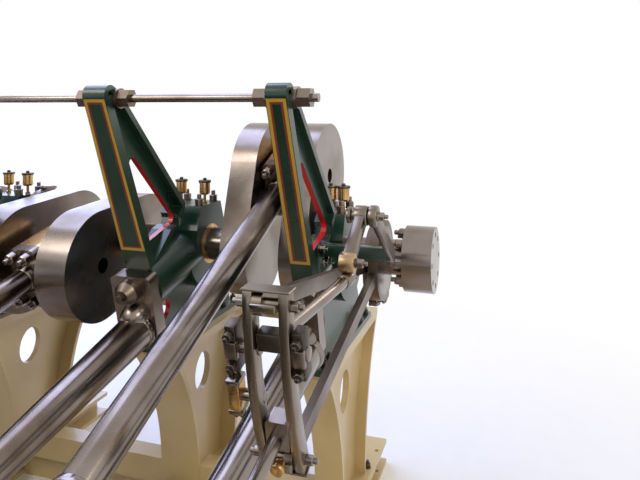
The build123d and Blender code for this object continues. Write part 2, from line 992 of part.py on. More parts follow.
def piston_valve_chest(name):
    """Round valve chest outboard of its cylinder, with port bridges and two pipe nozzles."""
    x = gear_lines[name]
    radius = high_chest_radius if name == "high" else middle_chest_radius
    with BuildPart() as chest:
        with BuildSketch(across(x, chest_start, spindle_lift)):
            Circle(radius)
        extrude(amount=chest_length)
        for start in (chest_start - cover_thickness, chest_start + chest_length):
            with BuildSketch(across(x, start, spindle_lift)):
                Circle(radius + chest_flange_proud)
            extrude(amount=cover_thickness)
        for start in (chest_start + port_inset, chest_start + chest_length - port_inset - port_length):
            with BuildSketch(across((x + line_x[name]) / 2, start, spindle_lift)):
                Rectangle(abs(x - line_x[name]), port_height)
            extrude(amount=port_length)
        for distance in (receiver_distance, inlet_distance):
            with BuildSketch(upward(x, distance, spindle_lift)):
                Circle(nozzle_radius)
            extrude(amount=nozzle_lift - spindle_lift)
            with BuildSketch(upward(x, distance, nozzle_lift - pipe_flange)):
                Circle(pipe_flange_radius)
            extrude(amount=pipe_flange)
        with BuildSketch(across(line_x[name], chest_start)):
            Circle(cylinder_radius[name])
        extrude(amount=chest_length, mode=Mode.SUBTRACT)
    return chest.part


save(piston_valve_chest("high"), "high_pressure_valve_chest")
save(piston_valve_chest("middle"), "middle_pressure_valve_chest")

with BuildPart() as low_chest:
    with BuildSketch(across(0, chest_start, low_chest_top - low_chest_depth / 2)):
        RectangleRounded(2 * low_chest_half, low_chest_depth, low_chest_corner)
    extrude(amount=chest_length)
    with BuildSketch(across(0, chest_start)):
        Circle(low_radius)
    extrude(amount=chest_length, mode=Mode.SUBTRACT)
save(low_chest.part, "low_pressure_valve_chest")

# Receiver pipe over the cylinders, pipe to the low pressure chest, inlet and exhaust branches
receiver_lift = low_chest_top + pipe_flange_radius + receiver_gap
with BuildPart() as pipes:
    with BuildLine(across(0, receiver_distance)) as receiver:
        FilletPolyline(
            (gear_x, nozzle_lift),
            (gear_x, receiver_lift),
            (-gear_x, receiver_lift),
            (-gear_x, nozzle_lift),
            radius=pipe_bend,
        )
    with BuildSketch(upward(gear_x, receiver_distance, nozzle_lift)):
        Circle(pipe_radius)
    sweep(path=receiver.wires()[0])
    with BuildLine(across(0, inlet_distance)) as to_low:
        FilletPolyline(
            (-gear_x, nozzle_lift),
            (-gear_x, low_inlet_lift),
            (-low_chest_half, low_inlet_lift),
            radius=pipe_bend,
        )
    with BuildSketch(upward(-gear_x, inlet_distance, nozzle_lift)):
        Circle(pipe_radius)
    sweep(path=to_low.wires()[0])
    ends = ((gear_x, receiver_distance), (-gear_x, receiver_distance), (-gear_x, inlet_distance))
    for x, distance in ends:
        with BuildSketch(upward(x, distance, nozzle_lift)):
            Circle(pipe_flange_radius)
        extrude(amount=pipe_flange)
    y, z = on_axis(inlet_distance, low_inlet_lift)
    with BuildSketch(side(-low_chest_half)):
        with Locations((y, z)):
            Circle(pipe_flange_radius)
    extrude(amount=-pipe_flange)
    # Steam inlet on the high pressure chest
    with BuildSketch(upward(gear_x, inlet_distance, nozzle_lift)):
        Circle(pipe_radius)
    extrude(amount=inlet_top - nozzle_lift)
    for lift in (nozzle_lift, inlet_top - pipe_flange):
        with BuildSketch(upward(gear_x, inlet_distance, lift)):
            Circle(pipe_flange_radius)
            with PolarLocations(inlet_bolt_circle / 2, inlet_bolts):
                Circle(inlet_bolt_radius, mode=Mode.SUBTRACT)
        extrude(amount=pipe_flange)
    # Exhaust on the low pressure chest
    y, z = on_axis((receiver_distance + inlet_distance) / 2, low_inlet_lift)
    with BuildSketch(side(low_chest_half)):
        with Locations((y, z)):
            Circle(exhaust_radius)
    extrude(amount=exhaust_length)
    with BuildSketch(side(low_chest_half + exhaust_length - pipe_flange)):
        with Locations((y, z)):
            Circle(exhaust_flange_radius)
            with PolarLocations(exhaust_bolt_circle / 2, exhaust_bolts):
                Circle(inlet_bolt_radius, mode=Mode.SUBTRACT)
    extrude(amount=pipe_flange)
save(pipes.part, "steam_pipes")


def link_end(sign):
    """Centre of the pin at the upper or lower end of an expansion link."""
    return on_axis(
        link_distance + link_bar_depth / 2,
        link_centre_lift + sign * (link_length / 2 - link_end_margin),
    )


def eccentric_places():
    """Each eccentric's x, centre point in side view, and the end of its rod."""
    rows = []
    for name, x in gear_lines.items():
        for sign in (-1, 1):
            centre = at_angle(eccentric_throw, crank_angles[name] + sign * eccentric_lead)
            rows.append((x + sign * eccentric_pitch / 2, centre, link_end(-sign)))
    return rows


with BuildPart() as sheaves:
    for x, centre, end in eccentric_places():
        with BuildSketch(side(x - eccentric_width / 2)):
            with Locations(centre):
                Circle(eccentric_radius)
            Circle(journal_radius, mode=Mode.SUBTRACT)
        extrude(amount=eccentric_width)
save(sheaves.part, "eccentric_sheaves")

# Eccentric rods with their straps, lugs at the straps' joints and an eye at the link
strap_radius = eccentric_radius + strap_thickness
with BuildPart() as eccentric_rods:
    for x, centre, end in eccentric_places():
        length = sqrt((end[0] - centre[0]) ** 2 + (end[1] - centre[1]) ** 2)
        angle = degrees(atan2(end[1] - centre[1], end[0] - centre[0]))
        middle = ((centre[0] + end[0]) / 2, (centre[1] + end[1]) / 2)
        with BuildSketch(side(x)):
            with Locations(middle):
                Rectangle(length, rod_depth, rotation=angle)
            with Locations(end):
                Circle(rod_eye_radius)
                Circle(link_pin_radius, mode=Mode.SUBTRACT)
            with Locations(centre):
                Circle(eccentric_radius + strap_thickness / 2, mode=Mode.SUBTRACT)
        extrude(amount=rod_eye_width / 2, both=True)
        with BuildSketch(side(x)):
            for sign in (-1, 1):
                lug_y = centre[0] - sign * strap_radius * sin(radians(angle))
                lug_z = centre[1] + sign * strap_radius * cos(radians(angle))
                with Locations((lug_y, lug_z)):
                    Rectangle(strap_lug_length, strap_lug_width, rotation=angle)
            with Locations(centre):
                Circle(strap_radius)
                Circle(eccentric_radius, mode=Mode.SUBTRACT)
        extrude(amount=eccentric_width / 2, both=True)
save(eccentric_rods.part, "eccentric_rods")


# Expansion links: two curved bars side by side, held apart by a pin at each end
bar_middle = link_distance + link_bar_depth / 2
bar_sag = bar_middle - sqrt(bar_middle**2 - (link_length / 2) ** 2)
link_outside = link_bar_pitch / 2 + link_bar_width / 2
lever_plane = gear_x + link_outside + side_gap
drag_plane = lever_plane + lever_thickness + side_gap
pin_tip = drag_plane + lever_thickness + side_gap
with BuildPart() as links:
    for name, x in gear_lines.items():
        for shift in (-link_bar_pitch / 2, link_bar_pitch / 2):
            with BuildSketch(side(x + shift)):
                with BuildLine():
                    bar = ThreePointArc(
                        on_axis(bar_middle - bar_sag, link_centre_lift - link_length / 2),
                        on_axis(bar_middle, link_centre_lift),
                        on_axis(bar_middle - bar_sag, link_centre_lift + link_length / 2),
                    )
                trace(bar, line_width=link_bar_depth)
                with Locations(link_end(-1), link_end(1)):
                    Circle(link_eye_radius)
            extrude(amount=link_bar_width / 2, both=True)
        for sign in (-1, 1):
            with BuildSketch(side(x)):
                with Locations(link_end(sign)):
                    Circle(link_pin_radius)
            extrude(amount=link_outside, both=True)
        if name != "low":
            with BuildSketch(side(x)):
                with Locations(link_end(1)):
                    Circle(link_pin_radius)
            extrude(amount=(pin_tip - gear_x) * x / gear_x)
save(links.part, "expansion_links")

# Reversing levers on pivots in front of the outer frames
pivot_reach = nose_radius + pivot_proud
pivot_drop = (nose[1] - pivot_reach * lean_sin - pivot_lift) / lean_cos
pivot = (nose[0] - pivot_reach * lean_cos + pivot_drop * lean_sin, pivot_lift)
lever_foot = (pivot[0], pivot[1] - lever_drop)
with BuildPart() as levers:
    for sign in (-1, 1):
        pivot_start = frame_x[3] - pivot_block_width / 2
        with BuildSketch(front_face(sign * frame_x[3])):
            with Locations((0, -pivot_drop)):
                Rectangle(pivot_block_width, pivot_block_height)
        extrude(amount=pivot_proud)
        with BuildSketch(side(sign * pivot_start)):
            with Locations(pivot):
                Circle(pivot_boss_radius)
        extrude(amount=sign * pivot_block_width)
        with BuildSketch(side(sign * pivot_start)):
            with Locations(pivot):
                Circle(lever_pin_radius)
        extrude(amount=sign * (lever_plane + lever_thickness - pivot_start))
        with BuildSketch(side(sign * lever_plane)):
            with Locations(pivot, lever_foot):
                Circle(lever_width / 2)
            make_hull()
        extrude(amount=sign * lever_thickness)
        with BuildSketch(side(sign * lever_plane)):
            with Locations(lever_foot):
                Circle(lever_pin_radius)
        extrude(amount=sign * (pin_tip - lever_plane))
save(levers.part, "reversing_levers")

link_top = link_end(1)
drag_length = sqrt((link_top[0] - lever_foot[0]) ** 2 + (link_top[1] - lever_foot[1]) ** 2)
drag_angle = degrees(atan2(link_top[1] - lever_foot[1], link_top[0] - lever_foot[0]))
drag_middle = ((link_top[0] + lever_foot[0]) / 2, (link_top[1] + lever_foot[1]) / 2)
with BuildPart() as drag_links:
    for sign in (-1, 1):
        with BuildSketch(side(sign * drag_plane)):
            with Locations(drag_middle):
                Rectangle(drag_length, drag_link_depth, rotation=drag_angle)
            with Locations(lever_foot, link_top):
                Circle(drag_eye_radius)
            with Locations(lever_foot):
                Circle(lever_pin_radius, mode=Mode.SUBTRACT)
            with Locations(link_top):
                Circle(link_pin_radius, mode=Mode.SUBTRACT)
        extrude(amount=sign * lever_thickness)
save(drag_links.part, "drag_links")

# Link blocks between the bars, each on the end of its valve spindle
spindle_ends = {"high": spindle_lift, "low": low_spindle_lift, "middle": spindle_lift}
with BuildPart() as spindles:
    for name, x in gear_lines.items():
        with BuildSketch(across(x, bar_middle - block_depth / 2, spindle_lift)):
            RectangleRounded(block_width, block_height, block_corner)
        extrude(amount=block_depth)
        start = on_axis(bar_middle + block_depth / 2, spindle_lift)
        chest_front = chest_start if name == "low" else chest_start - cover_thickness
        finish = on_axis(chest_front, spindle_ends[name])
        reach = sqrt((finish[0] - start[0]) ** 2 + (finish[1] - start[1]) ** 2)
        spindle_plane = Plane(
            origin=(x, start[0], shaft_height + start[1]),
            x_dir=(1, 0, 0),
            z_dir=(0, (finish[0] - start[0]) / reach, (finish[1] - start[1]) / reach),
        )
        with BuildSketch(spindle_plane):
            Circle(spindle_radius)
        extrude(amount=reach + spindle_radius)
        with BuildSketch(across(x, chest_front, spindle_ends[name])):
            Circle(2 * spindle_radius)
        extrude(amount=2 * spindle_radius, mode=Mode.SUBTRACT)
save(spindles.part, "valve_spindles")
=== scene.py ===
import json
import math

import bpy
from mathutils import Matrix, Vector

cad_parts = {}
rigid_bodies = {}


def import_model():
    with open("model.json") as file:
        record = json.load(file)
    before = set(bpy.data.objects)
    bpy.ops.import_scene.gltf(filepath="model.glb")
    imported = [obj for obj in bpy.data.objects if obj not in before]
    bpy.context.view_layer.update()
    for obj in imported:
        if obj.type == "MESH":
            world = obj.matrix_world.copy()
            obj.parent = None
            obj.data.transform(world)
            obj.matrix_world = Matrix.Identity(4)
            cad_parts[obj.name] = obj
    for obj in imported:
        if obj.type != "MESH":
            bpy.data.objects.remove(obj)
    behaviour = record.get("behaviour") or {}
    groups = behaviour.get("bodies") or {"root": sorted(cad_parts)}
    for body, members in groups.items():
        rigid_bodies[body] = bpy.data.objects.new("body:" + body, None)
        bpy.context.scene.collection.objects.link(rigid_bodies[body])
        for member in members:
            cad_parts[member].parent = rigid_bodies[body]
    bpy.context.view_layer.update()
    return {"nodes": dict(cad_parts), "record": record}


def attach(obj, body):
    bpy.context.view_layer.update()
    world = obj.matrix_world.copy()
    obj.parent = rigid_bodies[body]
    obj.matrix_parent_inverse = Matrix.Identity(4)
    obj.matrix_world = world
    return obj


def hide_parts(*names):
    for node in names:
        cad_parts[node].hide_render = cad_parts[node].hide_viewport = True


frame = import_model()
print("frame loaded:", len(frame["nodes"]), "nodes")

# Places from the CAD model, in metres
shaftZ = 3.0
axisSlope = math.radians(14)
frameX = [-2.97, -1.25, 1.25, 2.97]
lineX = {"high": 2.32, "low": 0.0, "middle": -2.11}
crankAngle = {"high": 54, "low": 174, "middle": 294}
crankThrow = 0.838
rodLength = 4.4
gearX = {"high": 3.42, "low": -0.8, "middle": -3.42}
linkDistance = 2.77
linkLift = 0.575
linkHalf = 0.525
spindleLift = 0.24


def onAxis(x, distance, lift=0.0):
    return Vector((
        x,
        -distance * math.cos(axisSlope) - lift * math.sin(axisSlope),
        shaftZ - distance * math.sin(axisSlope) + lift * math.cos(axisSlope),
    ))


toCylinders = Vector((0, -math.cos(axisSlope), -math.sin(axisSlope)))
toShaft = -toCylinders
upSlope = Vector((0, -math.sin(axisSlope), math.cos(axisSlope)))
alongX = Vector((1, 0, 0))
up = Vector((0, 0, 1))


def isInner(x):
    # The two frames beside the low pressure line
    return x in frameX[1:3]


def crankPin(name):
    angle = math.radians(crankAngle[name]) + axisSlope
    return Vector((lineX[name], crankThrow * math.cos(angle), shaftZ + crankThrow * math.sin(angle)))


def gudgeon(name):
    angle = math.radians(crankAngle[name])
    rise = crankThrow * math.sin(angle)
    distance = math.sqrt(rodLength ** 2 - rise ** 2) - crankThrow * math.cos(angle)
    return onAxis(lineX[name], distance)


# Camera, at the height and turn of the photograph's
viewpoint = {
    "place": (4.83, -6.3, 4.55),
    "turn": 18.05,
    "lens": 34.9,
    "shiftY": -0.209,
}


def addCamera(view):
    data = bpy.data.cameras.new("camera")
    data.lens = view["lens"]
    data.sensor_width = 36
    data.shift_y = view["shiftY"]
    data.clip_end = 200
    cam = bpy.data.objects.new("camera", data)
    cam.location = view["place"]
    cam.rotation_euler = (math.radians(90), 0, math.radians(view["turn"]))
    bpy.context.scene.collection.objects.link(cam)
    bpy.context.scene.camera = cam


addCamera(viewpoint)
bpy.context.scene.view_settings.view_transform = "Standard"
print("camera ready")


# Node groups shared by the materials
def addNode(tree, kind, x, y, **settings):
    node = tree.nodes.new(kind)
    node.location = (x, y)
    for key, value in settings.items():
        setattr(node, key, value)
    return node


def addMath(tree, x, y, operation, *values):
    # A calculation with sockets and numbers, which gives its output socket
    node = addNode(tree, "ShaderNodeMath", x, y, operation=operation)
    for socket, value in zip(node.inputs, values):
        if isinstance(value, (int, float)):
            socket.default_value = value
        else:
            tree.links.new(value, socket)
    return node.outputs["Value"]


def addVectorMath(tree, x, y, operation, *values):
    # The same for vectors, with a tuple as a fixed one, which gives the node
    node = addNode(tree, "ShaderNodeVectorMath", x, y, operation=operation)
    for socket, value in zip(node.inputs, values):
        if isinstance(value, tuple):
            socket.default_value = value
        else:
            tree.links.new(value, socket)
    return node


def mapValue(tree, x, y, value, low, high, fromLow=0.0, fromHigh=1.0):
    node = addNode(tree, "ShaderNodeMapRange", x, y)
    node.inputs["From Min"].default_value = fromLow
    node.inputs["From Max"].default_value = fromHigh
    node.inputs["To Min"].default_value = low
    node.inputs["To Max"].default_value = high
    tree.links.new(value, node.inputs["Value"])
    return node.outputs["Result"]


def newGroup(name, inputs, outputs):
    group = bpy.data.node_groups.new(name, "ShaderNodeTree")
    for socketName, kind, value in inputs:
        socket = group.interface.new_socket(name=socketName, in_out="INPUT", socket_type=kind)
        socket.default_value = value
    for socketName, kind in outputs:
        group.interface.new_socket(name=socketName, in_out="OUTPUT", socket_type=kind)
    return group, addNode(group, "NodeGroupInput", -900, 0), addNode(group, "NodeGroupOutput", 700, 0)


def addNoise(group, given, x, y, detail, place=None):
    # Noise at the group's Scale, on Object coordinates unless a place is given
    if place is None:
        place = addNode(group, "ShaderNodeTexCoord", x - 250, y).outputs["Object"]
    noise = addNode(group, "ShaderNodeTexNoise", x, y)
    noise.inputs["Detail"].default_value = detail
    group.links.new(place, noise.inputs["Vector"])
    group.links.new(given.outputs["Scale"], noise.inputs["Scale"])
    return noise


def giveMask(group, given, out, first, second):
    # Where both masks meet, by the group's Amount
    both = addMath(group, 100, 0, "MULTIPLY", first, second)
    scaled = addMath(group, 350, 0, "MULTIPLY", both, given.outputs["Amount"])
    scaled.node.use_clamp = True
    group.links.new(scaled, out.inputs["Mask"])


def makeGrain():
    # Fine surface unevenness as a value and a bumped normal
    group, given, out = newGroup(
        "surfaceGrain",
        [("Scale", "NodeSocketFloat", 60), ("Stretch", "NodeSocketVector", (1, 1, 1)),
         ("Height", "NodeSocketFloat", 0.001), ("Strength", "NodeSocketFloat", 0.3)],
        [("Value", "NodeSocketFloat"), ("Normal", "NodeSocketVector")],
    )
    coords = addNode(group, "ShaderNodeTexCoord", -900, 300)
    stretch = addVectorMath(group, -650, 200, "MULTIPLY",
                            coords.outputs["Object"], given.outputs["Stretch"])
    noise = addNoise(group, given, -400, 200, 5, stretch.outputs["Vector"])
    bump = addNode(group, "ShaderNodeBump", 300, -100)
    group.links.new(noise.outputs["Fac"], bump.inputs["Height"])
    group.links.new(given.outputs["Height"], bump.inputs["Distance"])
    group.links.new(given.outputs["Strength"], bump.inputs["Strength"])
    group.links.new(noise.outputs["Fac"], out.inputs["Value"])
    group.links.new(bump.outputs["Normal"], out.inputs["Normal"])
    return group


def makeEdgeWear():
    # Worn corners, broken up by noise
    group, given, out = newGroup(
        "edgeWear",
        [("Width", "NodeSocketFloat", 0.008), ("Scale", "NodeSocketFloat", 9),
         ("Amount", "NodeSocketFloat", 0.5)],
        [("Mask", "NodeSocketFloat")],
    )
    rounded = addNode(group, "ShaderNodeBevel", -650, 200, samples=4)
    flat = addNode(group, "ShaderNodeNewGeometry", -650, 0)
    group.links.new(given.outputs["Width"], rounded.inputs["Radius"])
    same = addVectorMath(group, -400, 150, "DOT_PRODUCT", rounded.outputs["Normal"], flat.outputs["Normal"])
    edge = mapValue(group, -200, 150, same.outputs["Value"], 0, 1, fromLow=0.995, fromHigh=0.86)
    noise = addNoise(group, given, -400, -200, 6)
    patches = mapValue(group, -200, -200, noise.outputs["Fac"], 0, 1, fromLow=0.45, fromHigh=0.62)
    giveMask(group, given, out, edge, patches)
    return group


def makeDust():
    # Dust and oil film that gathers on upward faces
    group, given, out = newGroup(
        "dustFilm",
        [("Scale", "NodeSocketFloat", 4), ("Amount", "NodeSocketFloat", 0.3)],
        [("Mask", "NodeSocketFloat")],
    )
    surface = addNode(group, "ShaderNodeNewGeometry", -650, 200)
    parts = addNode(group, "ShaderNodeSeparateXYZ", -450, 200)
    group.links.new(surface.outputs["Normal"], parts.inputs["Vector"])
    upward = mapValue(group, -250, 200, parts.outputs["Z"], 0, 1, fromLow=0.2, fromHigh=1)
    noise = addNoise(group, given, -450, -100, 7)
    noise.inputs["Roughness"].default_value = 0.65
    cloud = mapValue(group, -250, -100, noise.outputs["Fac"], 0, 1, fromLow=0.35, fromHigh=0.75)
    giveMask(group, given, out, upward, cloud)
    return group


grainGroup = makeGrain()
edgeGroup = makeEdgeWear()
dustGroup = makeDust()


def newMaterial(name):
    mat = bpy.data.materials.new(name)
    mat.use_nodes = True
    tree = mat.node_tree
    return mat, tree, tree.nodes["Principled BSDF"]


def addGroup(tree, group, x, y, **values):
    node = addNode(tree, "ShaderNodeGroup", x, y, node_tree=group)
    for key, value in values.items():
        node.inputs[key].default_value = value
    return node


def mixColour(tree, x, y, mask, under, over):
    # under and over are sockets or colours
    mix = addNode(tree, "ShaderNodeMix", x, y, data_type="RGBA")
    tree.links.new(mask, mix.inputs["Factor"])
    for socket, value in ((mix.inputs[6], under), (mix.inputs[7], over)):
        if isinstance(value, tuple):
            socket.default_value = (*value, 1)
        else:
            tree.links.new(value, socket)
    return mix.outputs[2]


# The part of the noise that each finish spreads over its whole range
patchSpread = (0.3, 0.7)
stainSpread = (0.42, 0.72)
sheenSpread = (0.3, 0.75)


def paint(name, finish):
    mat, tree, shader = newMaterial(name)
    coat = addGroup(tree, grainGroup, -900, 300, Scale=finish["patchScale"], Strength=0.0)
    peel = addGroup(tree, grainGroup, -900, -300, Scale=finish["peelScale"],
                    Strength=finish["peel"], Height=0.0015)
    edges = addGroup(tree, edgeGroup, -900, 0, Width=finish["edgeWidth"], Amount=finish["wear"])
    dust = addGroup(tree, dustGroup, -900, -600, Scale=3.0, Amount=finish["dust"])
    shade = mapValue(tree, -650, 300, coat.outputs["Value"], 0, 1, *patchSpread)
    colour = mixColour(tree, -400, 300, shade, finish["colour"], finish["patch"])
    if "window" in finish:
        colour = windowRed(tree, colour, finish["window"])
    colour = mixColour(tree, -100, 200, edges.outputs["Mask"], colour, finish["bare"])
    colour = mixColour(tree, 100, 100, dust.outputs["Mask"], colour, finish["dustColour"])
    tree.links.new(colour, shader.inputs["Base Color"])
    rough = mapValue(tree, -400, -100, coat.outputs["Value"], *finish["roughness"], *patchSpread)
    tree.links.new(rough, shader.inputs["Roughness"])
    tree.links.new(peel.outputs["Normal"], shader.inputs["Normal"])
    shader.inputs["Coat Weight"].default_value = finish["coat"]
    shader.inputs["Coat Roughness"].default_value = 0.12
    shader.location = (400, 0)
    return mat


# Openings of the main frames in Y and Z, which have red edges
frameOpening = {
    "corners": ((-1.320, 4.200), (-1.005, 3.179), (-0.415, 3.330)),
    "slack": 0.004,
    "hole": (0, -0.65, 2.44),
    "holeRadius": 0.1215,
    "webHalf": 0.0285,
    "flatLimit": 0.4,
}


def windowRed(tree, colour, red):
    # Red on faces square to the web, within its thickness, round the window and the hole below it
    coords = addNode(tree, "ShaderNodeTexCoord", -2100, 600)
    surface = addNode(tree, "ShaderNodeNewGeometry", -2100, 1000)
    place = addNode(tree, "ShaderNodeSeparateXYZ", -1900, 800)
    normal = addNode(tree, "ShaderNodeSeparateXYZ", -1900, 1000)
    tree.links.new(coords.outputs["Object"], place.inputs["Vector"])
    tree.links.new(surface.outputs["Normal"], normal.inputs["Vector"])
    sideways = addMath(tree, -1700, 1000, "ABSOLUTE", normal.outputs["X"])
    square = addMath(tree, -1500, 1000, "LESS_THAN", sideways, frameOpening["flatLimit"])
    across = addMath(tree, -1700, 800, "ABSOLUTE", place.outputs["X"])
    inner = addMath(tree, -1500, 800, "COMPARE", across, frameX[2], frameOpening["webHalf"])
    outer = addMath(tree, -1500, 600, "COMPARE", across, frameX[3], frameOpening["webHalf"])
    either = addMath(tree, -1300, 600, "MAXIMUM", inner, outer)
    inWeb = addMath(tree, -1300, 800, "MULTIPLY", square, either)
    window = inWeb
    corners = frameOpening["corners"]
    for i, (y, z) in enumerate(corners):
        nextY, nextZ = corners[(i + 1) % len(corners)]
        length = math.hypot(nextY - y, nextZ - z)
        inward = (0, (z - nextZ) / length, (nextY - y) / length)
        edge = inward[1] * y + inward[2] * z - frameOpening["slack"]
        reach = addVectorMath(tree, -1500, 400 - 200 * i, "DOT_PRODUCT", coords.outputs["Object"], inward)
        inside = addMath(tree, -1300, 400 - 200 * i, "GREATER_THAN", reach.outputs["Value"], edge)
        window = addMath(tree, -1100, 400 - 200 * i, "MULTIPLY", window, inside)
    away = addVectorMath(tree, -1700, -200, "SUBTRACT", coords.outputs["Object"], frameOpening["hole"])
    flat = addVectorMath(tree, -1500, -200, "MULTIPLY", away.outputs["Vector"], (0, 1, 1))
    reach = addVectorMath(tree, -1300, -200, "LENGTH", flat.outputs["Vector"])
    hole = addMath(tree, -1100, -200, "LESS_THAN", reach.outputs["Value"], frameOpening["holeRadius"])
    holeEdge = addMath(tree, -900, -200, "MULTIPLY", hole, inWeb)
    mask = addMath(tree, -700, 600, "MAXIMUM", window, holeEdge)
    return mixColour(tree, -250, 500, mask, colour, red)


def metal(name, finish):
    mat, tree, shader = newMaterial(name)
    grain = addGroup(tree, grainGroup, -900, -200, Scale=finish["grainScale"], Stretch=finish["stretch"],
                     Strength=finish["grain"], Height=0.0006)
    stain = addGroup(tree, grainGroup, -900, 300, Scale=finish["stainScale"], Strength=0.0)
    edges = addGroup(tree, edgeGroup, -900, 50, Width=0.006, Amount=finish["wear"])
    dust = addGroup(tree, dustGroup, -900, -500, Scale=5.0, Amount=finish["dust"])
    shade = mapValue(tree, -650, 300, stain.outputs["Value"], 0, 1, *stainSpread)
    colour = mixColour(tree, -400, 250, shade, finish["colour"], finish["stain"])
    colour = mixColour(tree, -200, 200, edges.outputs["Mask"], colour, finish["bright"])
    colour = mixColour(tree, 0, 100, dust.outputs["Mask"], colour, finish["oil"])
    tree.links.new(colour, shader.inputs["Base Color"])
    rough = mapValue(tree, -400, -50, stain.outputs["Value"], *finish["roughness"], *sheenSpread)
    tree.links.new(rough, shader.inputs["Roughness"])
    tree.links.new(grain.outputs["Normal"], shader.inputs["Normal"])
    shader.inputs["Metallic"].default_value = 1
    shader.location = (400, 0)
    return mat


greenPaint = {
    "colour": (0.005, 0.027, 0.015),
    "patch": (0.008, 0.036, 0.021),
    "patchScale": 1.6,
    "peelScale": 70,
    "peel": 0.12,
    "edgeWidth": 0.006,
    "wear": 0.35,
    "bare": (0.06, 0.09, 0.065),
    "dust": 0.16,
    "dustColour": (0.06, 0.075, 0.055),
    "roughness": (0.24, 0.38),
    "coat": 0.2,
    "window": (0.52, 0.006, 0.012),
}
creamPaint = {
    "colour": (0.60, 0.465, 0.235),
    "patch": (0.50, 0.37, 0.17),
    "patchScale": 1.1,
    "peelScale": 45,
    "peel": 0.15,
    "edgeWidth": 0.008,
    "wear": 0.6,
    "bare": (0.40, 0.29, 0.16),
    "dust": 0.35,
    "dustColour": (0.45, 0.34, 0.19),
    "roughness": (0.28, 0.48),
    "coat": 0.3,
}
cylinderPaint = dict(greenPaint, patchScale=0.9, dust=0.3)
del cylinderPaint["window"]
ochreLine = dict(creamPaint, colour=(0.52, 0.34, 0.045), patch=(0.42, 0.25, 0.03), wear=0.2, dust=0.0)
redLine = dict(creamPaint, colour=(0.20, 0.036, 0.010), patch=(0.15, 0.022, 0.008), wear=0.1, dust=0.0)
polishedSteel = {
    "colour": (0.275, 0.232, 0.205),
    "stain": (0.145, 0.107, 0.08),
    "bright": (0.50, 0.47, 0.44),
    "oil": (0.13, 0.09, 0.055),
    "stainScale": 1.6,
    "grainScale": 9,
    "stretch": (14, 1.2, 14),
    "grain": 0.04,
    "wear": 0.4,
    "dust": 0.25,
    "roughness": (0.20, 0.36),
}
turnedSteel = dict(polishedSteel, stretch=(1.5, 14, 14), grainScale=8, grain=0.02, roughness=(0.17, 0.30))
# Forged steel is darker than polished, and its colour is darkened further as painted shade for the
# eccentric rods, which stand in shadow
forgedShadedSteel = dict(polishedSteel, colour=(0.21, 0.17, 0.14), stain=(0.105, 0.077, 0.055), stretch=(5, 5, 5),
                   grainScale=14, grain=0.12, roughness=(0.26, 0.44))
barSteel = dict(forgedShadedSteel, colour=(0.28, 0.235, 0.19), stain=(0.15, 0.11, 0.08), roughness=(0.22, 0.38))
darkSteel = dict(forgedShadedSteel, colour=(0.09, 0.072, 0.058), stain=(0.045, 0.034, 0.026),
                 roughness=(0.32, 0.55))
amberBrass = {
    "colour": (0.60, 0.39, 0.155),
    "stain": (0.38, 0.21, 0.075),
    "bright": (0.84, 0.64, 0.33),
    "oil": (0.20, 0.11, 0.05),
    "stainScale": 7,
    "grainScale": 30,
    "stretch": (1, 1, 6),
    "grain": 0.1,
    "wear": 0.5,
    "dust": 0.25,
    "roughness": (0.16, 0.40),
}
oldBronze = dict(amberBrass, colour=(0.43, 0.30, 0.17), stain=(0.26, 0.17, 0.09), roughness=(0.22, 0.42))

greenMat = paint("greenPaint", greenPaint)
creamMat = paint("creamPaint", creamPaint)
cylinderMat = paint("cylinderPaint", cylinderPaint)
ochreMat = paint("ochreLine", ochreLine)
redMat = paint("redLine", redLine)
steelMat = metal("polishedSteel", polishedSteel)
turnedMat = metal("turnedSteel", turnedSteel)
forgedShadedMat = metal("forgedShadedSteel", forgedShadedSteel)
barMat = metal("barSteel", barSteel)
darkMat = metal("darkSteel", darkSteel)
brassMat = metal("amberBrass", amberBrass)
bronzeMat = metal("oldBronze", oldBronze)

slotMaterial = {
    "green_paint": greenMat,
    "cream_paint": creamMat,
    "cylinder_paint": cylinderMat,
    "polished_steel": steelMat,
    "brass": brassMat,
}
nodeMaterial = {
    "tie_rod": turnedMat,
    "inner_shafts": turnedMat,
    "outer_shafts": turnedMat,
    "frame_nuts": forgedShadedMat,
    # The eccentric rods take the darker forged steel, partly as painted shade
    "eccentric_rods": forgedShadedMat,
}
for row in frame["record"]["subparts"]:
    obj = bpy.data.objects[row["node"]]
    for slot in obj.material_slots:
        slot.material = nodeMaterial.get(row["node"], slotMaterial[row["material_slot"]])
print("materials ready")


# Helpers for new pieces
def deselect():
    bpy.ops.object.select_all(action="DESELECT")


def only(obj):
    deselect()
    obj.select_set(True)
    bpy.context.view_layer.objects.active = obj


def settle(obj, name, material, smooth=35):
    only(obj)
    bpy.ops.object.transform_apply(location=True, rotation=True, scale=True)
    obj.name = name
    obj.data.name = name
    obj.data.materials.clear()
    obj.data.materials.append(material)
    bpy.ops.object.shade_smooth_by_angle(angle=math.radians(smooth))
    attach(obj, "root")
    return obj


def joined(objects):
    deselect()
    for obj in objects:
        obj.select_set(True)
    bpy.context.view_layer.objects.active = objects[0]
    bpy.ops.object.join()
    return bpy.context.object


def facing(place, direction, turn=0.0):
    quat = Vector(direction).to_track_quat("Z", "Y")
    return Matrix.Translation(place) @ quat.to_matrix().to_4x4() @ Matrix.Rotation(turn, 4, "Z")


def leaning(place, run):
    # Local X across the engine, Z along the run
    return Matrix.Translation(place) @ Matrix((alongX, run.cross(alongX), run)).transposed().to_4x4()


def bevelled(obj, width, segments):
    # The object has just been added, so it is the active one
    bevel = obj.modifiers.new("edges", "BEVEL")
    bevel.width = width
    bevel.segments = segments
    bpy.ops.object.modifier_apply(modifier=bevel.name)


def box(size, matrix, edge, segments=2):
    bpy.ops.mesh.primitive_cube_add(size=1)
    block = bpy.context.object
    block.scale = size
    bpy.ops.object.transform_apply(location=False, rotation=False, scale=True)
    bevelled(block, edge, segments)
    block.matrix_world = matrix
    return block


